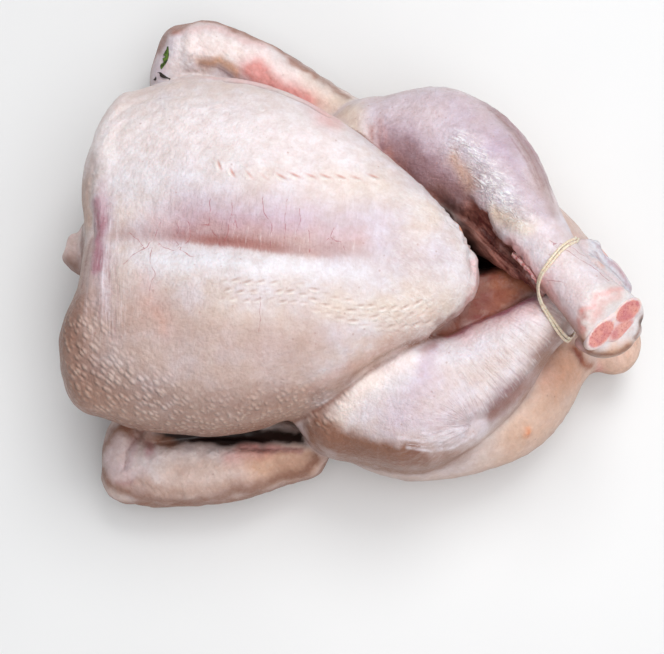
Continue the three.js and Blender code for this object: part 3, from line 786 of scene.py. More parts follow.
def breast_at(points):
    """The breast, with the groove along its keel and the cleft at its front."""
    x, y, z = points.T
    groove = KEEL_GROOVE
    along = smoothstep(x, groove["start"], groove["start"] + 40)
    along *= 1 - smoothstep(x, groove["end"] - 50, groove["end"])
    half = np.where(y > KEEL_Y, groove["far_half"], groove["near_half"])
    sunk = groove["depth"] * along * smoothstep(z, 70, 90) * bump(y - KEEL_Y, half)
    front = 1 - smoothstep(x, CLEFT["x"], CLEFT["x"] + CLEFT["reach"])
    high = smoothstep(z, CLEFT["start"], CLEFT["end"])
    near = 1 - smoothstep(KEEL_Y - y, CLEFT["near_start"], CLEFT["near_end"])
    side = np.where(y < KEEL_Y, near, bump(y - KEEL_Y, CLEFT["far_half"]))
    back = front * (high * CLEFT["depth"] * side + CLEFT["lean"] * y)
    return breast_form(np.stack([x - back, y, z + sunk], 1))


def bird(points):
    """About the distance from the bird's skin, below 0 inside."""
    x, y, z = points.T
    body = carcass_form(points)
    for side in THIGHS:
        body = join(body, thigh_forms[side](points), 14)
    body = join(body, tail_form(points), 6)
    body = join(body, flap_form(points), 5)
    body = cut(body, oval(points, CAVITY["at"], CAVITY["half"], CAVITY["turn"]), 4)
    body = join(body, wall_form(points), 6)
    body = join(body, neck_form(points), 8)
    body = join(body, breast_at(points), 3 + 13 * (1 - smoothstep(x, -10, 30)))
    for side in THIGHS:
        leg = drumstick_at(points, side)
        if side == "right":
            leg = join(leg, fold_form(points), 8)
        # The drumstick melts into the thigh at the knee, and only rests on it towards the hock.
        body = join(body, leg, 2 + 8 * (1 - smoothstep(x, 30, 75)) * (1 - smoothstep(z, 45, 62)))
        wing = upper_wing_forms[side](points)
        body = join(body, wing, 5)
        lower = join(forearm_forms[side](points), hand_forms[side](points), 3)
        body = join(body, lower, 1.5 + 8 * smoothstep(x, -45, -20))
    body = join(body, strand_form(points), 1.5)
    body = join(body, fat_form(points), 1)
    body = join(body, web_form(points), 3)
    for lobe in lobe_forms:
        body = join(body, lobe(points), 1.5)
    return np.maximum(body, -z)


# Meshes


def level_mesh(field, low, high, step):
    """A mesh of quads on the field's zero level. The field is read finely only near that level."""
    coarse = 4
    low = np.array(low, float)
    cells = np.ceil((np.array(high) - low) / (step * coarse)).astype(int)
    axes = [low[a] + step * coarse * np.arange(cells[a] + 1) for a in range(3)]
    grid = np.stack(np.meshgrid(*axes, indexing="ij"), -1)
    rough = field(grid.reshape(-1, 3)).reshape(grid.shape[:3])
    near = np.abs(rough) < step * coarse * 2.2
    live = np.zeros(cells, bool)
    for i in (0, 1):
        for j in (0, 1):
            for k in (0, 1):
                live |= near[i : i + cells[0], j : j + cells[1], k : k + cells[2]]
    fine = rough[:-1, :-1, :-1]
    for axis in range(3):
        fine = np.repeat(fine, coarse, axis)
        live = np.repeat(live, coarse, axis)
    fine = np.pad(fine, ((0, 1),) * 3, "edge")
    live = np.pad(live, ((0, 1),) * 3, "edge")
    where = np.argwhere(live)
    fine[live] = field(low + where * step)
    inside = fine < 0

    corners = np.array([[i, j, k] for i in (0, 1) for j in (0, 1) for k in (0, 1)])
    count = np.zeros(np.array(fine.shape) - 1, int)
    for i, j, k in corners:
        count += inside[i : i + count.shape[0], j : j + count.shape[1], k : k + count.shape[2]]
    crossed = np.argwhere((count > 0) & (count < 8))
    total = np.zeros((len(crossed), 3))
    hits = np.zeros(len(crossed))
    for a in range(8):
        for axis in range(3):
            if corners[a][axis]:
                continue
            other = corners[a].copy()
            other[axis] = 1
            one = fine[tuple((crossed + corners[a]).T)]
            two = fine[tuple((crossed + other).T)]
            hit = (one < 0) != (two < 0)
            share = np.where(hit, one / np.where(hit, one - two, 1), 0)
            place = corners[a] + share[:, None] * (other - corners[a])
            total += place * hit[:, None]
            hits += hit
    points = low + (crossed + total / hits[:, None]) * step

    index = np.full(count.shape, -1)
    index[tuple(crossed.T)] = np.arange(len(crossed))
    faces = []
    for axis in range(3):
        one, two = (axis + 1) % 3, (axis + 2) % 3
        size = np.array(fine.shape)
        size[axis] -= 1
        first = inside[tuple(slice(0, size[a]) for a in range(3))]
        shift = [slice(0, size[a]) for a in range(3)]
        shift[axis] = slice(1, size[axis] + 1)
        second = inside[tuple(shift)]
        change = np.argwhere(first != second)
        keep = (change[:, one] > 0) & (change[:, two] > 0)
        keep &= (change[:, one] < count.shape[one]) & (change[:, two] < count.shape[two])
        change = change[keep]
        ring = []
        for back_one, back_two in ((1, 1), (0, 1), (0, 0), (1, 0)):
            cell = change.copy()
            cell[:, one] -= back_one
            cell[:, two] -= back_two
            ring.append(index[tuple(cell.T)])
        quads = np.stack(ring, 1)
        outward = first[tuple(change.T)]
        quads[~outward] = quads[~outward][:, ::-1]
        faces.append(quads)
    return points, np.concatenate(faces)


def slope(field, points, reach=0.4):
    """The field's value and its gradient."""
    value = field(points)
    steps = np.eye(3) * reach
    gradient = np.stack([(field(points + steps[a]) - value) / reach for a in range(3)], 1)
    return value, gradient


def settle(field, points, step):
    """The points moved onto the field's zero level."""
    for _ in range(2):
        value, gradient = slope(field, points)
        size = np.maximum((gradient**2).sum(1), 0.05)
        move = -(value / size)[:, None] * gradient
        length = np.linalg.norm(move, axis=1)[:, None]
        points = points + move * np.minimum(1, step * 0.7 / np.maximum(length, 1e-9))
    return points


def neighbours_mean(values, faces, count):
    """For each vertex, the mean of its neighbours along the faces' edges."""
    total = np.zeros((count, values.shape[1]))
    number = np.zeros(count)
    for a in range(4):
        one, two = faces[:, a], faces[:, (a + 1) % 4]
        for column in range(values.shape[1]):
            total[:, column] += np.bincount(one, values[two, column], count)
            total[:, column] += np.bincount(two, values[one, column], count)
        number += np.bincount(one, minlength=count) + np.bincount(two, minlength=count)
    return total / number[:, None]


def vertex_normals(points, faces):
    corners = [points[faces[:, a]] for a in range(4)]
    diagonals = np.cross(corners[2] - corners[0], corners[3] - corners[1])
    total = np.zeros_like(points)
    for a in range(4):
        for column in range(3):
            total[:, column] += np.bincount(faces[:, a], diagonals[:, column], len(points))
    return total / np.maximum(np.linalg.norm(total, axis=1), 1e-9)[:, None]


def place_object(name, data):
    made = bpy.data.objects.new(name, data)
    bpy.context.scene.collection.objects.link(made)
    return made


def make_object(name, points, faces, material, attributes=None):
    """A mesh object from millimetre points in the stations' frame."""
    mesh = bpy.data.meshes.new(name)
    count, sides = faces.shape
    mesh.vertices.add(len(points))
    mesh.vertices.foreach_set("co", ((points - MIDDLE) * MM).astype(np.float32).ravel())
    mesh.loops.add(count * sides)
    mesh.loops.foreach_set("vertex_index", faces.astype(np.int32).ravel())
    mesh.polygons.add(count)
    mesh.polygons.foreach_set("loop_start", (np.arange(count) * sides).astype(np.int32))
    mesh.polygons.foreach_set("use_smooth", np.ones(count, bool))
    mesh.update(calc_edges=True)
    mesh.validate()
    for key, values in (attributes or {}).items():
        layer = mesh.attributes.new(key, "FLOAT", "POINT")
        layer.data.foreach_set("value", values.astype(np.float32))
    mesh.materials.append(material)
    return place_object(name, mesh)


# Materials


class Shader:
    """A material whose nodes are made by short calls."""

    def __init__(self, name):
        self.material = bpy.data.materials.new(name)
        self.material.use_nodes = True
        self.tree = self.material.node_tree
        self.bsdf = self.tree.nodes["Principled BSDF"]

    def node(self, kind, settings=None, **inputs):
        made = self.tree.nodes.new(kind)
        for key, value in (settings or {}).items():
            setattr(made, key, value)
        for key, value in inputs.items():
            numbered = key[0] == "i" and key[1:].isdigit()
            self.feed(made.inputs[int(key[1:]) if numbered else key], value)
        return made

    def feed(self, socket, value):
        if isinstance(value, bpy.types.NodeSocket):
            self.tree.links.new(value, socket)
        else:
            socket.default_value = value

    def math(self, operation, a, b=0.0, clamp=False):
        made = self.node("ShaderNodeMath", {"operation": operation, "use_clamp": clamp}, i0=a, i1=b)
        return made.outputs[0]

    def attribute(self, name):
        return self.node("ShaderNodeAttribute", {"attribute_name": name}).outputs["Fac"]

    def mix(self, share, a, b, blend="MIX"):
        made = self.node("ShaderNodeMix", {"data_type": "RGBA", "blend_type": blend}, i0=share, i6=a, i7=b)
        return made.outputs[2]

    def varied(self, tint, noise, dark, light):
        """The tint made darker or lighter by the noise."""
        factor = self.mix(self.ramp(noise, 0.3, 0.7), (*dark, 1.0), (*light, 1.0))
        return self.mix(1.0, tint, factor, "MULTIPLY")

    def coordinates(self, scale, turn=0.0):
        where = self.node("ShaderNodeTexCoord").outputs["Object"]
        if turn:
            flat = {"rotation_type": "Z_AXIS"}
            where = self.node("ShaderNodeVectorRotate", flat, Vector=where, Angle=-turn).outputs[0]
        return self.node("ShaderNodeMapping", Vector=where, Scale=tuple(s / MM for s in scale)).outputs[0]

    def noise(self, size, detail=3.0, stretch=(1, 1, 1), roughness=0.55, distortion=0.0, turn=0.0):
        """Noise whose patches are about size millimetres across, times stretch, turned about the vertical."""
        where = self.coordinates([1 / (size * s) for s in stretch], turn)
        made = self.node("ShaderNodeTexNoise", Vector=where, Scale=1.0, Detail=detail, Roughness=roughness,
                         Distortion=distortion)
        return made.outputs["Fac"]

    def ramp(self, value, start, end):
        made = self.node("ShaderNodeMapRange", {"interpolation_type": "SMOOTHSTEP", "clamp": True},
                         i0=value, i1=start, i2=end)
        return made.outputs[0]

    def cells(self, size, stretch=(1, 1, 1), turn=0.0, feature="F1"):
        """Distance from the middle of the nearest cell, for cells about size millimetres across."""
        where = self.coordinates([1 / (size * s) for s in stretch], -turn)
        kind = {"feature": feature}
        made = self.node("ShaderNodeTexVoronoi", kind, Vector=where, Scale=1.0, Randomness=0.8)
        if feature == "SMOOTH_F1":
            made.inputs["Smoothness"].default_value = 0.4
        return made.outputs["Distance"]

    def paint(self, tint, value, start, end, mask, strength, rgb):
        """The tint with a colour over it where the value passes from start to end, inside the mask."""
        return self.mix(self.product(self.ramp(value, start, end), mask, strength), tint, colour(*rgb))

    def relief(self, height):
        """The normal that a height in millimetres gives."""
        return self.node("ShaderNodeBump", Height=height, Distance=MM, Strength=1.0).outputs[0]

    def bell(self, value, half):
        """1 where value is 0, falling off on both sides."""
        share = self.math("DIVIDE", value, half)
        return self.math("EXPONENT", self.product(self.product(share, share), -1.0))

    def total(self, *values):
        return reduce(partial(self.math, "ADD"), values)

    def product(self, *values):
        return reduce(partial(self.math, "MULTIPLY"), values)

    def dashes(self, name, pitch, row_pitch, half_length, half_width, slope, slope_change):
        """Short marks in rows along a band: the dark line of each mark and the pale ridge beside it."""
        u, v = self.attribute(name + "_u"), self.attribute(name + "_v")
        row = self.math("ROUND", self.math("DIVIDE", v, row_pitch))
        along = self.total(self.math("DIVIDE", u, pitch), self.product(row, 0.37))
        cell = self.math("FLOOR", along)
        number = self.node("ShaderNodeCombineXYZ", i0=cell, i1=row).outputs[0]
        random = self.node("ShaderNodeTexWhiteNoise", {"noise_dimensions": "3D"}, Vector=number)
        random = self.node("ShaderNodeSeparateColor", Color=random.outputs["Color"])
        shift_u, shift_v, weight = random.outputs[:3]
        du = self.product(self.math("SUBTRACT", self.math("SUBTRACT", along, cell), 0.5), pitch)
        du = self.total(du, self.product(self.math("SUBTRACT", shift_u, 0.5), pitch * 0.22))
        dv = self.math("SUBTRACT", v, self.product(row, row_pitch))
        dv = self.total(dv, self.product(self.math("SUBTRACT", shift_v, 0.5), row_pitch * 0.3))
        angle = self.total(slope, self.product(u, slope_change))
        cosine, sine = self.math("COSINE", angle), self.math("SINE", angle)
        a = self.total(self.product(du, cosine), self.product(dv, sine))
        b = self.math("SUBTRACT", self.product(dv, cosine), self.product(du, sine))
        mask = self.product(self.attribute(name), self.bell(a, half_length), self.total(weight, 0.35))
        line = self.product(mask, self.bell(b, half_width))
        ridge = self.product(mask, self.bell(self.total(b, half_width * 2.4), half_width * 1.5))
        return line, ridge

    def set(self, **inputs):
        for key, value in inputs.items():
            self.feed(self.bsdf.inputs[key.replace("_", " ")], value)


def colour(red, green, blue):
    """A display colour of 0 to 255 a channel as Blender's linear colour."""
    channels = [c / 255 for c in (red, green, blue)]
    return tuple(c / 12.92 if c < 0.04045 else ((c + 0.055) / 1.055) ** 2.4 for c in channels) + (1.0,)


def skin_material():
    """Raw poultry skin: pale and translucent, tinted by what lies under it, and with painted light and shade
    in its tones.
    """
    shader = Shader("raw_skin")
    attribute, noise, ramp = shader.attribute, shader.noise, shader.ramp
    total, product = shader.total, shader.product
    ragged = noise(3.0, 4.0, roughness=0.62)
    warm, cool = colour(*SKIN_COLOURS["warm"]), colour(*SKIN_COLOURS["cool"])
    tint = shader.mix(ramp(noise(14, 3.0), 0.35, 0.68), warm, cool)
    broken = total(product(ragged, 0.6), 0.7)
    for tone, rgb in TONE_COLOURS.items():
        if tone != "shadow":
            share = shader.math("MULTIPLY", attribute(tone), broken, clamp=True)
            tint = shader.mix(share, tint, colour(*rgb))
    heights = []

    # The dark line along the keel: soft on its far side, sharp and ragged on its near side
    # The line is partly redder skin and partly painted shade of the groove's wall.
    streaks = noise(1.3, 3.0, (1, 7, 7), 0.7)
    jagged = product(shader.math("SUBTRACT", streaks, 0.5), 3.4)
    side = total(attribute("groove_side"), jagged)
    beyond = shader.math("MAXIMUM", side, 0.0)
    fade = shader.math("EXPONENT", product(beyond, -0.15))
    groove = product(ramp(side, -1.2, 1.4), fade, attribute("groove"))
    tint = shader.mix(shader.math("MULTIPLY", groove, 0.85, clamp=True), tint, colour(178, 124, 118))
    core = product(shader.bell(shader.math("SUBTRACT", side, 2.4), 2.8), attribute("groove"), 0.75)
    tint = shader.mix(core, tint, colour(156, 88, 76))

    # Fibres of the muscle show through the breast as fine streaks across the keel.
    fibres = attribute("fibres")
    tint = shader.paint(tint, streaks, 0.5, 0.25, fibres, 0.3, (176, 136, 138))
    tint = shader.paint(tint, streaks, 0.55, 0.8, fibres, 0.45, (252, 247, 249))
    heights.append(product(streaks, fibres, 0.3))

    # The skin is stretched into fine folds over the front rim, between the lobes.
    stretch = attribute("stretch")
    pulled = noise(1.5, 3.0, (1, 14, 5), 0.6, turn=math.radians(4))
    tint = shader.paint(tint, pulled, 0.52, 0.72, stretch, 0.55, (250, 243, 250))
    tint = shader.paint(tint, pulled, 0.48, 0.3, stretch, 0.4, (172, 126, 134))
    heights.append(product(pulled, stretch, 0.6))

    # Goose skin
    goose = attribute("goose")
    cells = shader.cells(3.1, (1.35, 0.75, 1.0), math.radians(45), "SMOOTH_F1")
    tint = shader.paint(tint, cells, 0.25, 0.65, goose, 0.45, (148, 112, 98))
    tint = shader.paint(tint, cells, 0.42, 0.08, goose, 0.34, (230, 206, 190))
    heights.append(product(ramp(cells, 0.62, 0.1), goose, 0.82))

    # Follicle rows
    for name, values in FOLLICLE_ROWS.items():
        line, ridge = shader.dashes(name, *values["pattern"])
        ink = shader.math("MULTIPLY", line, values["ink"], clamp=True)
        tint = shader.mix(ink, tint, colour(*values["colour"]))
        tint = shader.mix(shader.math("MULTIPLY", ridge, 0.5, clamp=True), tint, colour(252, 244, 238))
        heights += [product(line, -0.22), product(ridge, 0.3)]

    # Fine vessels by the keel
    beside = shader.math("ABSOLUTE", attribute("vessel_side"))
    near = ramp(attribute("vessel_away"), 1.3, 0.7)
    thin = product(ramp(beside, 0.26, 0.06), near, ramp(ragged, 0.3, 0.6))
    tint = shader.mix(product(thin, 0.62), tint, colour(168, 70, 78))

    # Fine pale lines, which are painted glints, and dark lines, partly painted shade in creases
    for name in ("pale", "dark"):
        values = FINE_LINES[name]
        beside = shader.math("ABSOLUTE", attribute(name + "_side"))
        near = ramp(attribute(name + "_away"), 2.2, 0.6)
        line = product(ramp(beside, 1.0, 0.1), near, ramp(ragged, 0.2, 0.6))
        tint = shader.mix(product(line, values["strength"]), tint, colour(*values["colour"]))
        heights.append(product(line, values["rise"]))

    # Wrinkles that gather at the near drumstick
    fan = attribute("fan")
    reach = product(attribute("fan_away"), 0.13)
    where = shader.node("ShaderNodeCombineXYZ", i0=attribute("fan_lines"), i1=reach).outputs[0]
    wave = {"Vector": where, "Scale": 1.15, "Detail": 2.0, "Roughness": 0.5, "Distortion": 0.25}
    wave = shader.node("ShaderNodeTexNoise", **wave).outputs["Fac"]
    tint = shader.paint(tint, wave, 0.5, 0.68, fan, 0.32, (250, 243, 247))
    tint = shader.paint(tint, wave, 0.48, 0.32, fan, 0.34, (160, 122, 130))
    heights.append(product(wave, fan, 0.8))

    # Glossy crinkles over the muscle of the far drumstick, and fat lobules under the skin
    crinkle_and_glint = attribute("crinkle_and_glint")
    ripple = noise(2.6, 3.0, (2.4, 0.8, 1.0), 0.6, 1.6, turn=math.radians(-25))
    heights.append(product(ripple, crinkle_and_glint, 1.5))
    # Painted glints on the crinkles' crests, and slightly darker hollows
    tint = shader.paint(tint, ripple, 0.46, 0.3, crinkle_and_glint, 0.25, (200, 178, 182))
    tint = shader.paint(tint, ripple, 0.5, 0.62, crinkle_and_glint, 0.85, (252, 250, 250))

    # Wrinkled, mottled skin of the far drumstick
    wrinkled = attribute("wrinkled")
    wrinkles = noise(1.6, 4.0, (2.6, 0.9, 1.4), 0.62, 1.0)
    mottle = noise(4.5, 4.0, (1.5, 1, 1), 0.62, 0.6)
    tint = shader.paint(tint, mottle, 0.5, 0.34, wrinkled, 0.34, (140, 106, 114))
    tint = shader.paint(tint, mottle, 0.54, 0.7, wrinkled, 0.2, (216, 196, 204))
    tint = shader.paint(tint, wrinkles, 0.44, 0.3, wrinkled, 0.3, (132, 92, 92))
    heights.append(product(wrinkles, wrinkled, 0.45))

    # Meat under the torn skin, with its strands
    strands = noise(1.1, 4.0, (1, 1, 1), 0.6)
    grain = noise(1.6, 4.0, (6, 1, 2), 0.6, turn=math.radians(-45))
    meat = shader.mix(ramp(grain, 0.28, 0.7), colour(120, 66, 56), colour(190, 130, 116))
    meat = shader.mix(product(attribute("trough"), ramp(grain, 0.8, 0.3)), meat, colour(90, 30, 28))
    tint = shader.mix(attribute("meat"), tint, meat)
    heights.append(product(total(strands, grain), attribute("meat"), 0.75))

    # Pores and the fine net of lines everywhere
    pores = noise(1.2, 4.0, roughness=0.65)
    heights.append(product(pores, 0.48))
    heights.append(product(shader.cells(2.1, (1.0, 1.3, 1.0), 0.5), -0.26))
    tint = shader.varied(tint, noise(12.0, 3.0, roughness=0.55), (0.95, 0.93, 0.92), (1.03, 1.03, 1.04))
    tint = shader.varied(tint, noise(4.0, 2.0, roughness=0.5), (0.95, 0.92, 0.91), (1.03, 1.04, 1.05))
    tint = shader.varied(tint, pores, (0.96, 0.94, 0.93), (1.03, 1.04, 1.04))
    sparse = ramp(noise(9, 2.0), 0.5, 0.6)
    tint = shader.paint(tint, shader.cells(4.2), 0.16, 0.08, sparse, 0.4, (176, 128, 120))
    shadow = attribute("shadow")
    tint = shader.mix(shadow, tint, colour(*TONE_COLOURS["shadow"]))

    height = product(total(*heights), shader.math("SUBTRACT", 1.0, shadow))
    wet = attribute("wet")
    rough = total(product(ramp(noise(2.2, 3.0), 0.3, 0.7), 0.12), 0.42)
    rough = shader.math("SUBTRACT", rough, product(wet, 0.16))
    coat = total(product(wet, 0.45), 0.14)
    shader.set(
        Base_Color=tint, Roughness=rough, Normal=shader.relief(height), IOR=1.4, Subsurface_Weight=0.1,
        Subsurface_Scale=0.0012, Subsurface_Radius=(1.0, 0.4, 0.3), Coat_Weight=coat, Coat_Roughness=0.18,
    )
    return shader.material


def mottled_material(name, patch, detail, edges, dark, light, rise=0.0, **settings):
    """One colour mottled with another in patches, which may also rise. Edges say how sharply they change."""
    shader = Shader(name)
    patches = shader.noise(patch, detail)
    if rise:
        settings["Normal"] = shader.relief(shader.product(patches, rise))
    share = shader.ramp(patches, *edges) if edges else patches
    shader.set(Base_Color=shader.mix(share, colour(*dark), colour(*light)), **settings)
    return shader.material


def bone_material():
    """Cut bone: red spongy marrow in a pale rim, and white cartilage."""
    shader = Shader("cut_bone")
    spots = shader.noise(1.0, 4.0, roughness=0.65)
    patches = shader.ramp(shader.noise(4.5, 3.0), 0.35, 0.65)
    marrow = shader.mix(patches, colour(206, 126, 128), colour(226, 158, 146))
    marrow = shader.paint(marrow, spots, 0.5, 0.32, 1.0, 0.65, (184, 84, 84))
    marrow = shader.paint(marrow, spots, 0.58, 0.72, 1.0, 0.5, (240, 190, 180))
    rim = shader.mix(shader.ramp(shader.noise(2.0), 0.3, 0.7), colour(226, 204, 206), colour(240, 214, 206))
    shader.set(
        Base_Color=shader.mix(shader.attribute("marrow"), rim, marrow), Roughness=0.3,
        Normal=shader.relief(shader.product(spots, 0.3)),
        Subsurface_Weight=0.2, Subsurface_Scale=0.001, Coat_Weight=0.2, Coat_Roughness=0.15,
    )
    return shader.material


# Marks, tones and relief of the skin


def line_distance(x, y, path):
    """The distance in plan from each point to a path."""
    best = np.full(len(x), np.inf)
    for start, end in zip(path, path[1:]):
        dx, dy = end[0] - start[0], end[1] - start[1]
        share = np.clip(((x - start[0]) * dx + (y - start[1]) * dy) / max(dx * dx + dy * dy, 1e-6), 0, 1)
        best = np.minimum(best, np.hypot(x - start[0] - share * dx, y - start[1] - share * dy))
    return best


def smooth_noise(points, size, seed):
    """Noise from -1 to 1 whose bumps are about size millimetres across."""
    table = np.random.default_rng(seed).random((64, 64, 64)) * 2 - 1
    at = points / size
    cell = np.floor(at).astype(int)
    w = at - cell
    w = w * w * (3 - 2 * w)
    total = np.zeros(len(points))
    for i in (0, 1):
        for j in (0, 1):
            for k in (0, 1):
                share = np.abs(1 - i - w[:, 0]) * np.abs(1 - j - w[:, 1]) * np.abs(1 - k - w[:, 2])
                corner = (cell + (i, j, k)) % 64
                total += share * table[corner[:, 0], corner[:, 1], corner[:, 2]]
    return total


def path_coordinates(x, y, path):
    """How far along a smooth path in plan each point lies, and how far to its left, both in millimetres."""
    line = curve(path, np.linspace(0, 1, 40))
    lengths = np.hypot(*np.diff(line, axis=0).T)
    reached = np.concatenate([[0], np.cumsum(lengths)])
    best = np.full(len(x), np.inf)
    along, left = np.zeros(len(x)), np.zeros(len(x))
    last = len(lengths) - 1
    for i, length in enumerate(lengths):
        dx, dy = (line[i + 1] - line[i]) / length
        u = (x - line[i, 0]) * dx + (y - line[i, 1]) * dy
        v = (y - line[i, 1]) * dx - (x - line[i, 0]) * dy
        inside = np.clip(u, -np.inf if i == 0 else 0, np.inf if i == last else length)
        away = np.hypot(u - inside, v)
        nearer = away < best
        best[nearer] = away[nearer]
        along[nearer] = reached[i] + inside[nearer]
        left[nearer] = v[nearer]
    return along, left, reached[-1]


def line_marks(points, parts, lines):
    """How far each point lies from the nearest fine line, and beside it with a sign, in half widths."""
    x = points[:, 0] + lines["wobble"] * smooth_noise(points, 3, 11)
    y = points[:, 1] + lines["wobble"] * smooth_noise(points, 3, 12)
    away, side = np.full(len(x), FAR), np.full(len(x), FAR)
    for part, path in [(part, path) for part, paths in lines["paths"].items() for path in paths]:
        for start, end in zip(path, path[1:]):
            dx, dy = end[0] - start[0], end[1] - start[1]
            length = math.hypot(dx, dy)
            u = ((x - start[0]) * dx + (y - start[1]) * dy) / length
            v = ((y - start[1]) * dx - (x - start[0]) * dy) / length
            distance = np.hypot(u - np.clip(u, 0, length), v) + FAR * (parts[part] < 0.3)
            nearer = distance < away
            away[nearer], side[nearer] = distance[nearer], v[nearer]
    return away / lines["half"], side / lines["half"]


def part_shares(points):
    """How much each point belongs to each part of the bird."""
    forms = {"carcass": carcass_form, "breast": breast_at, "neck": neck_form, "tail": tail_form,
             "flap": flap_form, "wall": wall_form, "strand": strand_form, "fat": fat_form}
    values = {name: form(points) for name, form in forms.items()}
    for side in THIGHS:
        values["thigh_" + side] = thigh_forms[side](points)
        values["leg_" + side] = drumstick_at(points, side)
        wing = (upper_wing_forms[side], forearm_forms[side], hand_forms[side])
        values["wing_" + side] = np.min([form(points) for form in wing], axis=0)
    values["leg_right"] = np.minimum(values["leg_right"], fold_form(points))
    least = np.min(list(values.values()), axis=0)
    # The near drumstick passes into the thigh without an edge where its crease begins.
    blur = 0.8 + 4.5 * bump(np.hypot(points[:, 0] - 62, points[:, 1] + 68), 16)
    shares = {name: np.exp(-(value - least) / blur) for name, value in values.items()}
    whole = sum(shares.values())
    return {name: share / whole for name, share in shares.items()}


def tones_at(points, parts, upward):
    """The strength of each tone at each point."""
    x = points[:, 0] + 2.0 * smooth_noise(points, 9, 15) + 0.9 * smooth_noise(points, 3, 16)
    y = points[:, 1] + 2.0 * smooth_noise(points, 9, 17) + 0.9 * smooth_noise(points, 3, 18)
    z = points[:, 2]
    breast, wall, flap = parts["breast"], parts["wall"], parts["flap"]
    near_leg, far_leg = parts["leg_right"], parts["leg_left"]
    tones = {tone: np.zeros(len(points)) for tone in TONE_COLOURS}

    def lay(share, **strengths):
        for tone, strength in strengths.items():
            tones[tone] += strength * share

    def beside(path, half):
        return bump(line_distance(x, y, path), half)

    seen = smoothstep(upward, -0.35, 0.0)
    for part, by_tone in TONES.items():
        for tone, marks in by_tone.items():
            for path, half, strength in marks:
                lay(seen * parts[part] * beside(path, half), **{tone: strength})
    for part, strengths in WHOLE_TONES.items():
        lay(parts[part], **strengths)

    # The skin is browner low down, and painted shade darkens the near side and what turns away from above.
    low = 1 - smoothstep(z, 8, 46)
    lay(low, tan=0.5)
    lay(low * smoothstep(y, 30, -30), umber=0.16)
    clear = 1 - breast * smoothstep(x, -40, -10)
    beyond = (1 - smoothstep(upward, 0.05, 0.6)) * clear
    lay(beyond * (0.18 + 0.12 * smoothstep(-y, -10, 20)), dusk=1)
    lay((1 - smoothstep(upward, -0.1, 0.4)) * clear, umber=0.42)
    # painted shade on the wings' turned-away sides
    for wing, reach in (("wing_right", 0.45), ("wing_left", 0.42)):
        lay(parts[wing] * (1 - smoothstep(upward, reach - 0.5, reach)), streak=0.4, umber=0.6)
    # The far wing's upper edge is darker red where it turns away.
    top = parts["wing_left"] * smoothstep(y, 100, 112)
    lay(top * (1 - smoothstep(upward, 0.1, 0.5)) * (1 - smoothstep(x, -80, -30)), red=0.8)
    lay(top * (1 - smoothstep(upward, 0.25, 0.65)) * (1 - smoothstep(x, -70, -30)), rust=0.7)

    # The vent, what shows in it, and the painted shadows round it
    # Painted shade on the breast's flank under its edge, and in the gap by the vent
    lay(breast * (1 - smoothstep(z, 64, 77)) * smoothstep(x, -5, 28), umber=1, red=0.7)
    lay((parts["carcass"] + parts["thigh_left"]) * beside(VENT_GAP, 8), umber=1, red=0.8)
    # The vent's inner skin: its own rust colour, painted shade towards the hole's upper left, and mottled
    # folds
    inner = wall + flap + 0.7 * parts["carcass"] * bump(np.hypot(x - 72, y - 4), 22)
    inner *= smoothstep(z, 20, 40)
    lay(inner, rust=1)
    lay(inner * (1 - smoothstep(x, 56, 70)), umber=0.5)
    lay(inner * (1 - smoothstep(x, 50, 59)), red=0.7)
    folds = smooth_noise(points * (0.45, 1, 1), 3.2, 19) + 0.7 * smooth_noise(points * (0.8, 1.2, 1), 2.0, 22)
    lay(inner * smoothstep(folds, 0.1, 0.7), red=0.42)
    lay(inner * smoothstep(-folds, 0.1, 0.7), orange=0.35)
    lay((flap + wall) * beside(FLAP_LINE, 3), red=0.8)
    # Painted shade in the hole, and at the wall's rim beside it
    hole = oval(points, CAVITY["at"], CAVITY["half"], CAVITY["turn"])
    lay((1 - smoothstep(hole, -0.5, 3)) * (1 - wall) * (1 - parts["strand"]), red=0.9, shadow=0.8)
    lay(wall * (1 - smoothstep(hole, -5, 1)) * smoothstep(y, 6, 13), red=0.5)
    crevice = (1 - breast) * (1 - parts["fat"]) * beside(BREAST_SHADE, 5.5)
    lay(crevice * (1 - smoothstep(z, 68, 78)), shadow=1.05)
    lay((1 - breast) * (1 - smoothstep(z, 66, 74)) * beside(TIP_SHADE, 5), umber=0.8, red=0.45)
    # Painted shade in the pit by the breast's tip
    lay((1 - breast) * beside(PIT, 3), umber=0.45, plum=0.3)
    # Painted shade in the creases where the parts meet
    for one, other, strength in SEAMS:
        lay(strength * smoothstep(parts[one] * parts[other], 0.01, 0.24), umber=1, red=0.35)
    rim = breast * bump(z - 79, 5) * smoothstep(x, 10, 32) * (1 - smoothstep(upward, 0.1, 0.5))
    lay(rim, pink=0.3, umber=0.3)
    u, v, _ = path_coordinates(x, y, TORN_EDGE)
    lay(far_leg * bump(v - 4, 4) * smoothstep(u, 6, 16), white=0.9)
    lay(far_leg * bump(v - 1, 2.2) * smoothstep(u, 24, 32), pink=0.6)

    # The cut ends of the drumsticks
    offset = points - np.array(FACE["middle"])
    jitter = 0.9 * smooth_noise(points, 3, 13)
    a, b = offset @ np.array(FACE["along"]) + jitter, offset @ np.array(FACE["across"]) - jitter
    face = smoothstep(cut_depth(points, "left"), -6, -2.5) * far_leg
    lay(face, cartilage=1)
    for tone, marks in FACE_TONES.items():
        for path, half, strength in marks:
            lay(face * bump(line_distance(a, b, path), half), **{tone: strength})
    depth = cut_depth(points, "right")
    lay(near_leg * smoothstep(depth, -11, -7), cartilage=0.9)
    lay(near_leg * smoothstep(depth, -13, -8), ice=0.6)
    return {tone: np.clip(value, 0, 1) for tone, value in tones.items()}


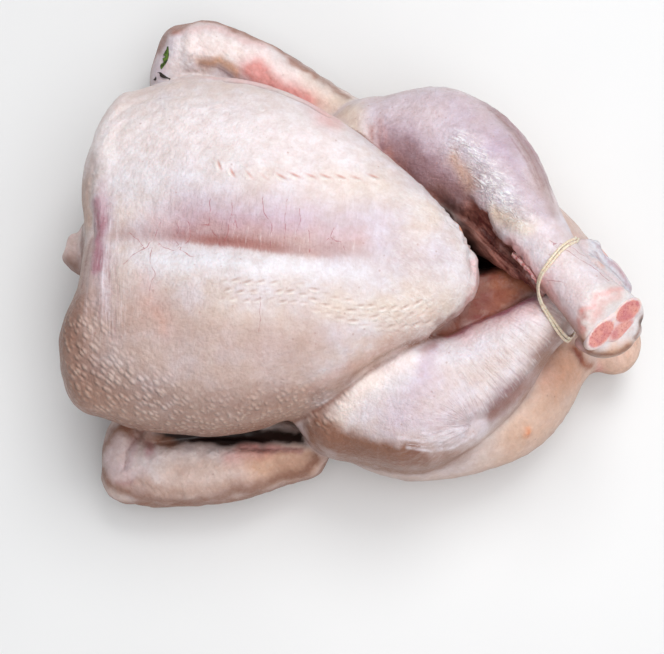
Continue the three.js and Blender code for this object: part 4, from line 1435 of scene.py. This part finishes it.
def relief_at(points, parts):
    """How far the skin stands above its form, and the masks of its finer marks."""
    x, y, z = points.T
    breast, near_leg, far_leg = parts["breast"], parts["leg_right"], parts["leg_left"]
    wings = parts["wing_left"] + parts["wing_right"]
    height = 0.5 * smooth_noise(points, 19, 1) + 0.28 * smooth_noise(points, 7, 2)
    height += 0.1 * smooth_noise(points, 3, 7)
    height += wings * 0.45 * smooth_noise(points, 5, 3) + parts["neck"] * 1.3 * smooth_noise(points, 6.5, 20)
    broken = 1 + 0.4 * smooth_noise(points, 6, 4)
    for part, folds in FOLDS.items():
        for path, half, rise in folds:
            height += rise * broken * parts[part] * bump(line_distance(x, y, path), half)
    lining = 0.9 * smooth_noise(points * (0.5, 1, 1), 4, 22)
    lining += 0.5 * smooth_noise(points * (0.6, 1.2, 1), 2.2, 23)
    height += (parts["wall"] + parts["flap"]) * smoothstep(z, 30, 45) * lining

    marks = {}
    u, v, _ = path_coordinates(x, y, GROOVE_LINE["path"])
    strength = np.interp(u, *zip(*GROOVE_LINE["strength"])) * breast
    marks["groove"], marks["groove_side"] = strength * (np.abs(v) < 14), v
    height -= 0.9 * strength * smoothstep(v, -0.9, 0.9) * np.exp(-np.maximum(v, 0) / 3)
    for name, values in FOLLICLE_ROWS.items():
        u, v, length = path_coordinates(x, y, values["path"])
        ends = smoothstep(u, -4, 4) * (1 - smoothstep(u, length - 4, length + 4))
        marks[name] = breast * ends * (1 - smoothstep(np.abs(v), values["half"] - 1, values["half"] + 1))
        marks[name + "_u"], marks[name + "_v"] = u, v

    goose = 0.15 * breast * (1 - smoothstep(z, 60, 90))
    for part, path, half, strength in GOOSE_SKIN:
        goose = goose + strength * parts[part] * bump(line_distance(x, y, path), half)
    goose += 0.25 * (parts["carcass"] + parts["neck"] + parts["tail"])
    goose += 0.22 * wings + 0.15 * (parts["thigh_left"] + parts["thigh_right"])
    marks["goose"] = np.clip(goose, 0, 1)

    # The wrinkles run out square to the crease, and fan out round its start.
    u, v, _ = path_coordinates(x, y, FAN["path"])
    before = np.maximum(-u, 0)
    away = np.hypot(before, v)
    fan_angle = np.arctan2(before, v)
    marks["fan_lines"] = np.where(u > 0, u / FAN["pitch"], -fan_angle * FAN["lines"])
    marks["fan_away"] = away
    fade = 0.3 + 0.7 * bump(away, FAN["reach"] * 0.4)
    marks["fan"] = near_leg * fade * smoothstep(away, 0, 3) * (1 - smoothstep(fan_angle, 1.6, 2.2))
    marks["fan"] *= 1 - smoothstep(away, FAN["reach"] / 2, FAN["reach"])
    height -= near_leg * 1.7 * bump(away, 4)

    rim = bump(x + 109.5 - 0.12 * np.maximum(-y, 0), 8 - 0.06 * np.clip(y, -40, 20))
    rim *= smoothstep(y, -52, -34) * (1 - smoothstep(y, 12, 26))
    marks["stretch"] = breast * rim * smoothstep(z, 50, 66)
    centre = bump(y - 12, 14) * smoothstep(x, -100, -80) * (1 - smoothstep(x, -5, 25))
    marks["fibres"] = breast * np.clip(0.2 + 0.7 * centre, 0, 1)
    for name, lines in FINE_LINES.items():
        marks[name + "_away"], marks[name + "_side"] = line_marks(points, parts, lines)
    # The far drumstick's crinkles, and faint ones over the breast's tip half, carry painted glints.
    crinkle_and_glint = sum(bump(line_distance(x, y, path), 6) for path in CRINKLES)
    marks["crinkle_and_glint"] = np.clip(far_leg * crinkle_and_glint + 0.28 * breast * smoothstep(x, -5, 30), 0, 1)
    lower = bump(line_distance(x, y, LOWER_LEG), 13)
    marks["wrinkled"] = far_leg * np.clip(0.35 + lower, 0, 1)
    marks["wrinkled"] *= (1 - smoothstep(x, 70, 84)) * smoothstep(x, -2, 8)
    marks["wet"] = np.clip(0.3 * far_leg + crinkle_and_glint * far_leg + 0.35 * near_leg, 0, 1)

    # The skin of the far drumstick is torn towards the vent, and dark meat shows.
    u, v, length = path_coordinates(x, y, TORN_EDGE)
    v = v + 1.1 * smooth_noise(points, 4, 5) + 0.7 * smooth_noise(points, 1.8, 6)
    reach = smoothstep(u, 0, 8) * (1 - smoothstep(u, length - 3, length + 2))
    marks["meat"] = np.clip(far_leg * smoothstep(-v, -0.5, 0.5) * reach + parts["strand"], 0, 1)
    marks["trough"] = bump(v + 2.6, 2.2) * smoothstep(x, 46, 56)
    meaty = np.clip(far_leg * reach + parts["strand"], 0, 1)
    height += meaty * (0.7 * bump(v - 1.4, 1.6) - 2.2 * bump(v + 2.4, 2.2) + 0.8 * bump(v + 7, 2.2))

    # Lumps of fat along the breast's edge over the vent
    edge, soft_edge = (bump(line_distance(x, y, path), 3.2) for path in (EDGE_LUMPS, SOFT_LUMPS))
    height += breast * edge * (1.8 * smooth_noise(points, 3.8, 8) + 1.2 * smooth_noise(points, 2.2, 9))
    height += breast * soft_edge * (0.7 * smooth_noise(points, 4.5, 8) + 0.4 * smooth_noise(points, 2.4, 9))
    return height, marks


def make_skin():
    points, faces = level_mesh(bird, *SKIN_BOX, SKIN_STEP)
    for _ in range(2):
        points = points + 0.6 * (neighbours_mean(points, faces, len(points)) - points)
        points = settle(bird, points, SKIN_STEP)
    normals = vertex_normals(points, faces)
    parts = part_shares(points)
    tones = tones_at(points, parts, normals[:, 2])
    height, marks = relief_at(points, parts)
    points = points + normals * height[:, None]
    points[:, 2] = np.maximum(points[:, 2], 0)
    return make_object("chicken_skin", points, faces, skin_material(), {**tones, **marks})


# Bones


def turned_ball(points, at, half, turn):
    return oval(points, at, half, math.radians(turn))


def bone_at(points, side):
    """The tibia, whose cut end shows at the hock."""
    stations = DRUMSTICKS[side][1:]
    halves = [BONES["knee"], *[BONES["shaft"]] * (len(stations) - 2), BONES["hock"]]
    form = Limb([[*row[:3], half, half] for row, half in zip(stations, halves)], (0.6, 0.3))(points)
    for knob in KNOBS[side]:
        form = join(form, turned_ball(points, *knob), 1.2)
    if side == "left":
        form = join(form, turned_ball(points, *BRIDGE), 1.0)
    return -join(-form, 0.7 - cut_depth(points, side), 0.8)


def make_bones():
    material = bone_material()
    for side in DRUMSTICKS:
        stations = np.array(DRUMSTICKS[side][1:], float)
        low, high = stations[:, :3].min(0) - 14, stations[:, :3].max(0) + 14
        form = partial(bone_at, side=side)
        points, faces = level_mesh(form, low, high, BONE_STEP)
        points = settle(form, points, 0.7)
        # The marrow is red inside a pale rim, and at the left bone also between its two knobs.
        knobs = [(at, np.array(half) - (0.7, 0.7, 0.1), turn) for at, half, turn in KNOBS[side]]
        inner = np.min([turned_ball(points, *knob) for knob in knobs], axis=0)
        bridge = turned_ball(points, *BRIDGE)
        marrow = np.maximum(1 - smoothstep(inner, -0.4, 0.2), 0.9 * (1 - smoothstep(bridge, -1.4, 0.4)))
        marrow *= smoothstep(cut_depth(points, side), -0.2, 0.4)
        piece = make_object("tibia_" + side + "_bone", points, faces, material, {"marrow": marrow})
        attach(piece, "root")
        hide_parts("tibia_" + side)


# Elastic band


def tube_faces(count, sides):
    """The quads of a closed tube of so many rings."""
    i, j = (index.ravel() for index in np.meshgrid(np.arange(count), np.arange(sides), indexing="ij"))
    here, following = i * sides, (i + 1) % count * sides
    beside = (j + 1) % sides
    return np.stack([here + j, following + j, following + beside, here + beside], 1)


def make_band():
    """Two strands of an elastic band that is wound twice round the shanks."""
    count, sides = BAND["rings"], BAND["sides"]
    path = loop_points(BAND_LOOP, count)
    # The loop tightens, and is pushed out of the flesh again and again.
    for _ in range(BAND["rounds"]):
        for _ in range(20):
            around = (np.roll(path, 1, 0) + np.roll(path, -1, 0)) / 2
            path = path + 0.5 * (around - path)
        value, gradient = slope(bird, path)
        steep = np.maximum(np.linalg.norm(gradient, axis=1), 0.3)
        error = np.minimum((value - BAND["half_thick"]) / steep, 0)
        path = path - (gradient / steep[:, None]) * error[:, None]
    along = unit(np.roll(path, -1, 0) - np.roll(path, 1, 0))
    value, out = slope(bird, path)
    far = value > 3
    out[far] = (path - path.mean(0))[far]
    for _ in range(12):
        out = (np.roll(out, 1, 0) + np.roll(out, -1, 0) + out) / 3
    out = unit(out - along * (out * along).sum(1)[:, None])
    across = np.cross(along, out)
    share = np.arange(count) / count
    angles = 2 * math.pi * np.arange(sides) / sides
    ring = across[:, None] * (np.cos(angles)[None, :, None] * BAND["half_wide"])
    ring = ring + out[:, None] * (np.sin(angles)[None, :, None] * BAND["half_thick"])
    apart = BAND["apart"] * (0.75 + 0.25 * np.sin(2 * math.pi * (2 * share + 0.15)))
    points = []
    for strand, sign in enumerate((-1, 1)):
        lift = 0.12 * np.sin(2 * math.pi * (5 * share + 0.3 * strand))
        line = path + across * (sign * apart)[:, None] + out * lift[:, None]
        points.append((line[:, None] + ring).reshape(-1, 3))
    faces = tube_faces(count, sides)
    faces = np.concatenate([faces, faces + count * sides])
    material = mottled_material(
        "cream_elastic", 1.2, 3.0, (0.3, 0.7), (222, 200, 172), (244, 232, 212), 0.06,
        Roughness=0.45, Subsurface_Weight=0.15, Subsurface_Scale=0.001,
    )
    piece = make_object("elastic_strands", np.concatenate(points), faces, material)
    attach(piece, "root")
    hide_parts("leg_band")


# Thin things that lie on the skin


def patch_on_skin(name, path, width, lift, thick, material, seed, skirt=0.0):
    """A thin ragged strip that lies on the skin along a path.

    Its width is a function of the share along it, and its lift one of the share across it.
    """
    long, wide = 90, 9
    line = curve(path, np.linspace(0, 1, long))
    along = unit(np.gradient(line, axis=0))
    side = unit(np.cross(along, unit(slope(bird, line)[1])))
    t, w = np.meshgrid(np.linspace(0, 1, long), np.linspace(0, 1, wide), indexing="ij")
    ragged = smooth_noise(np.repeat(line[:, None], wide, 1).reshape(-1, 3), 1.6, seed).reshape(t.shape)
    reach = -skirt + (width(t) * (1 + 0.7 * ragged) + skirt) * w
    grid = line[:, None] + side[:, None] * reach[..., None]
    flat = settle(bird, grid.reshape(-1, 3), 3.0)
    normals = unit(slope(bird, flat)[1])
    rise = (lift(w) + 0.3 * w * smooth_noise(flat, 1.8, seed + 1).reshape(t.shape)).reshape(-1)
    top = flat + normals * (rise + thick)[:, None]
    bottom = flat + normals * (rise - 0.2)[:, None]
    number = long * wide
    i, j = np.meshgrid(np.arange(long - 1), np.arange(wide - 1), indexing="ij")
    a = (i * wide + j).ravel()
    quads = np.stack([a, a + wide, a + wide + 1, a + 1], 1)
    rim = np.concatenate([
        np.arange(wide), np.arange(1, long) * wide + wide - 1,
        (long - 1) * wide + np.arange(wide - 2, -1, -1), np.arange(long - 2, 0, -1) * wide,
    ])
    following = np.roll(rim, -1)
    walls = np.stack([rim, following, following + number, rim + number], 1)
    faces = np.concatenate([quads, quads[:, ::-1] + number, walls[:, ::-1]])
    piece = make_object(name, np.concatenate([top, bottom]), faces, material)
    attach(piece, "root")


def make_patches():
    membrane = mottled_material(
        "torn_membrane", 2.0, 3.0, (0.3, 0.65), (196, 112, 112), (234, 190, 186), 0.5,
        Roughness=0.3, Subsurface_Weight=0.2, Subsurface_Scale=0.0012, Coat_Weight=0.3, Coat_Roughness=0.15,
    )
    leaf = mottled_material("dark_leaf", 1.6, 3.0, (0.35, 0.6), (38, 50, 18), (92, 122, 40), Roughness=0.45)
    stem = mottled_material("black_stem", 1.0, 3.0, None, (14, 12, 10), (58, 44, 36), Roughness=0.5)

    def arched(w):
        return 0.1 + np.sin(math.pi * w)

    def level(w):
        return 0.1

    def pointed(t):
        return 5.2 * np.sqrt(np.maximum(t * (1 - t), 0.01))

    patch_on_skin("torn_skin_edge", TORN_RIM, lambda t: 1.3 + 1.5 * t, arched, 0.3, membrane, 21, skirt=1.2)
    patch_on_skin("leaf_sliver", LEAF_PATH, pointed, level, 0.4, leaf, 31)
    patch_on_skin("dark_stem", STEM_PATH, lambda t: 1.3, level, 0.4, stem, 41)


def make_floor():
    mesh = bpy.data.meshes.new("floor")
    side, depth = FLOOR["half"], FLOOR["depth"]
    corners = [(-side, -side, depth), (side, -side, depth), (side, side, depth), (-side, side, depth)]
    mesh.from_pydata(corners, [], [(0, 1, 2, 3)])
    mesh.materials.append(
        mottled_material("pale_floor", 220, 2.0, (0.3, 0.7), (236, 236, 236), (240, 240, 240), Roughness=0.7)
    )
    place_object("floor", mesh)


# Camera and light

CAMERA = {
    "azimuth": 5.2, "elevation": 80.0, "distance": 0.7, "target": (-0.009, -0.032, 0.05),
    "mm_per_pixel": 0.47, "sensor": 36.0,
}
PHOTO_WIDTH = 664
FLOOR = {"half": 4.0, "depth": -0.0004}
# Soft lights: place, size and power
LIGHTS = {
    "key": ((0.2, 0.66, 1.15), 0.7, 7.0),
    "fill": ((0.45, -0.8, 0.75), 1.0, 2.6),
    "sky": ((0.25, -0.1, 1.3), 1.4, 9.3),
}
LIGHT_AIM = (0, 0, 0.05)
WORLD = {"Color": (0.95, 0.97, 1.0, 1), "Strength": 0.28}


def make_camera():
    """The camera at the photo's angle, with the photo's scale at its target."""
    azimuth, elevation = math.radians(CAMERA["azimuth"]), math.radians(CAMERA["elevation"])
    level = math.cos(elevation)
    back = Vector((math.sin(azimuth) * level, -math.cos(azimuth) * level, math.sin(elevation)))
    right = Vector((math.cos(azimuth), math.sin(azimuth), 0))
    data = bpy.data.cameras.new("camera")
    data.sensor_width = CAMERA["sensor"]
    data.lens = CAMERA["sensor"] * CAMERA["distance"] / MM / CAMERA["mm_per_pixel"] / PHOTO_WIDTH
    data.clip_end = 20
    made = place_object("camera", data)
    place = Vector(CAMERA["target"]) + back * CAMERA["distance"]
    turn = Matrix((right, back.cross(right), back)).transposed().to_4x4()
    made.matrix_world = Matrix.Translation(place) @ turn
    bpy.context.scene.camera = made


def make_lights():
    for name, (place, size, power) in LIGHTS.items():
        data = bpy.data.lights.new(name, "AREA")
        data.shape, data.size, data.energy = "DISK", size, power
        made = place_object(name, data)
        made.location = place
        made.rotation_euler = (Vector(LIGHT_AIM) - Vector(place)).to_track_quat("-Z", "Y").to_euler()
    world = bpy.data.worlds.new("studio")
    world.use_nodes = True
    for name, value in WORLD.items():
        world.node_tree.nodes["Background"].inputs[name].default_value = value
    bpy.context.scene.world = world


bpy.context.scene.view_settings.view_transform = "Standard"
make_camera()
make_lights()
make_floor()
skin = make_skin()
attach(skin, "root")
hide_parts("chicken")
make_bones()
make_band()
make_patches()
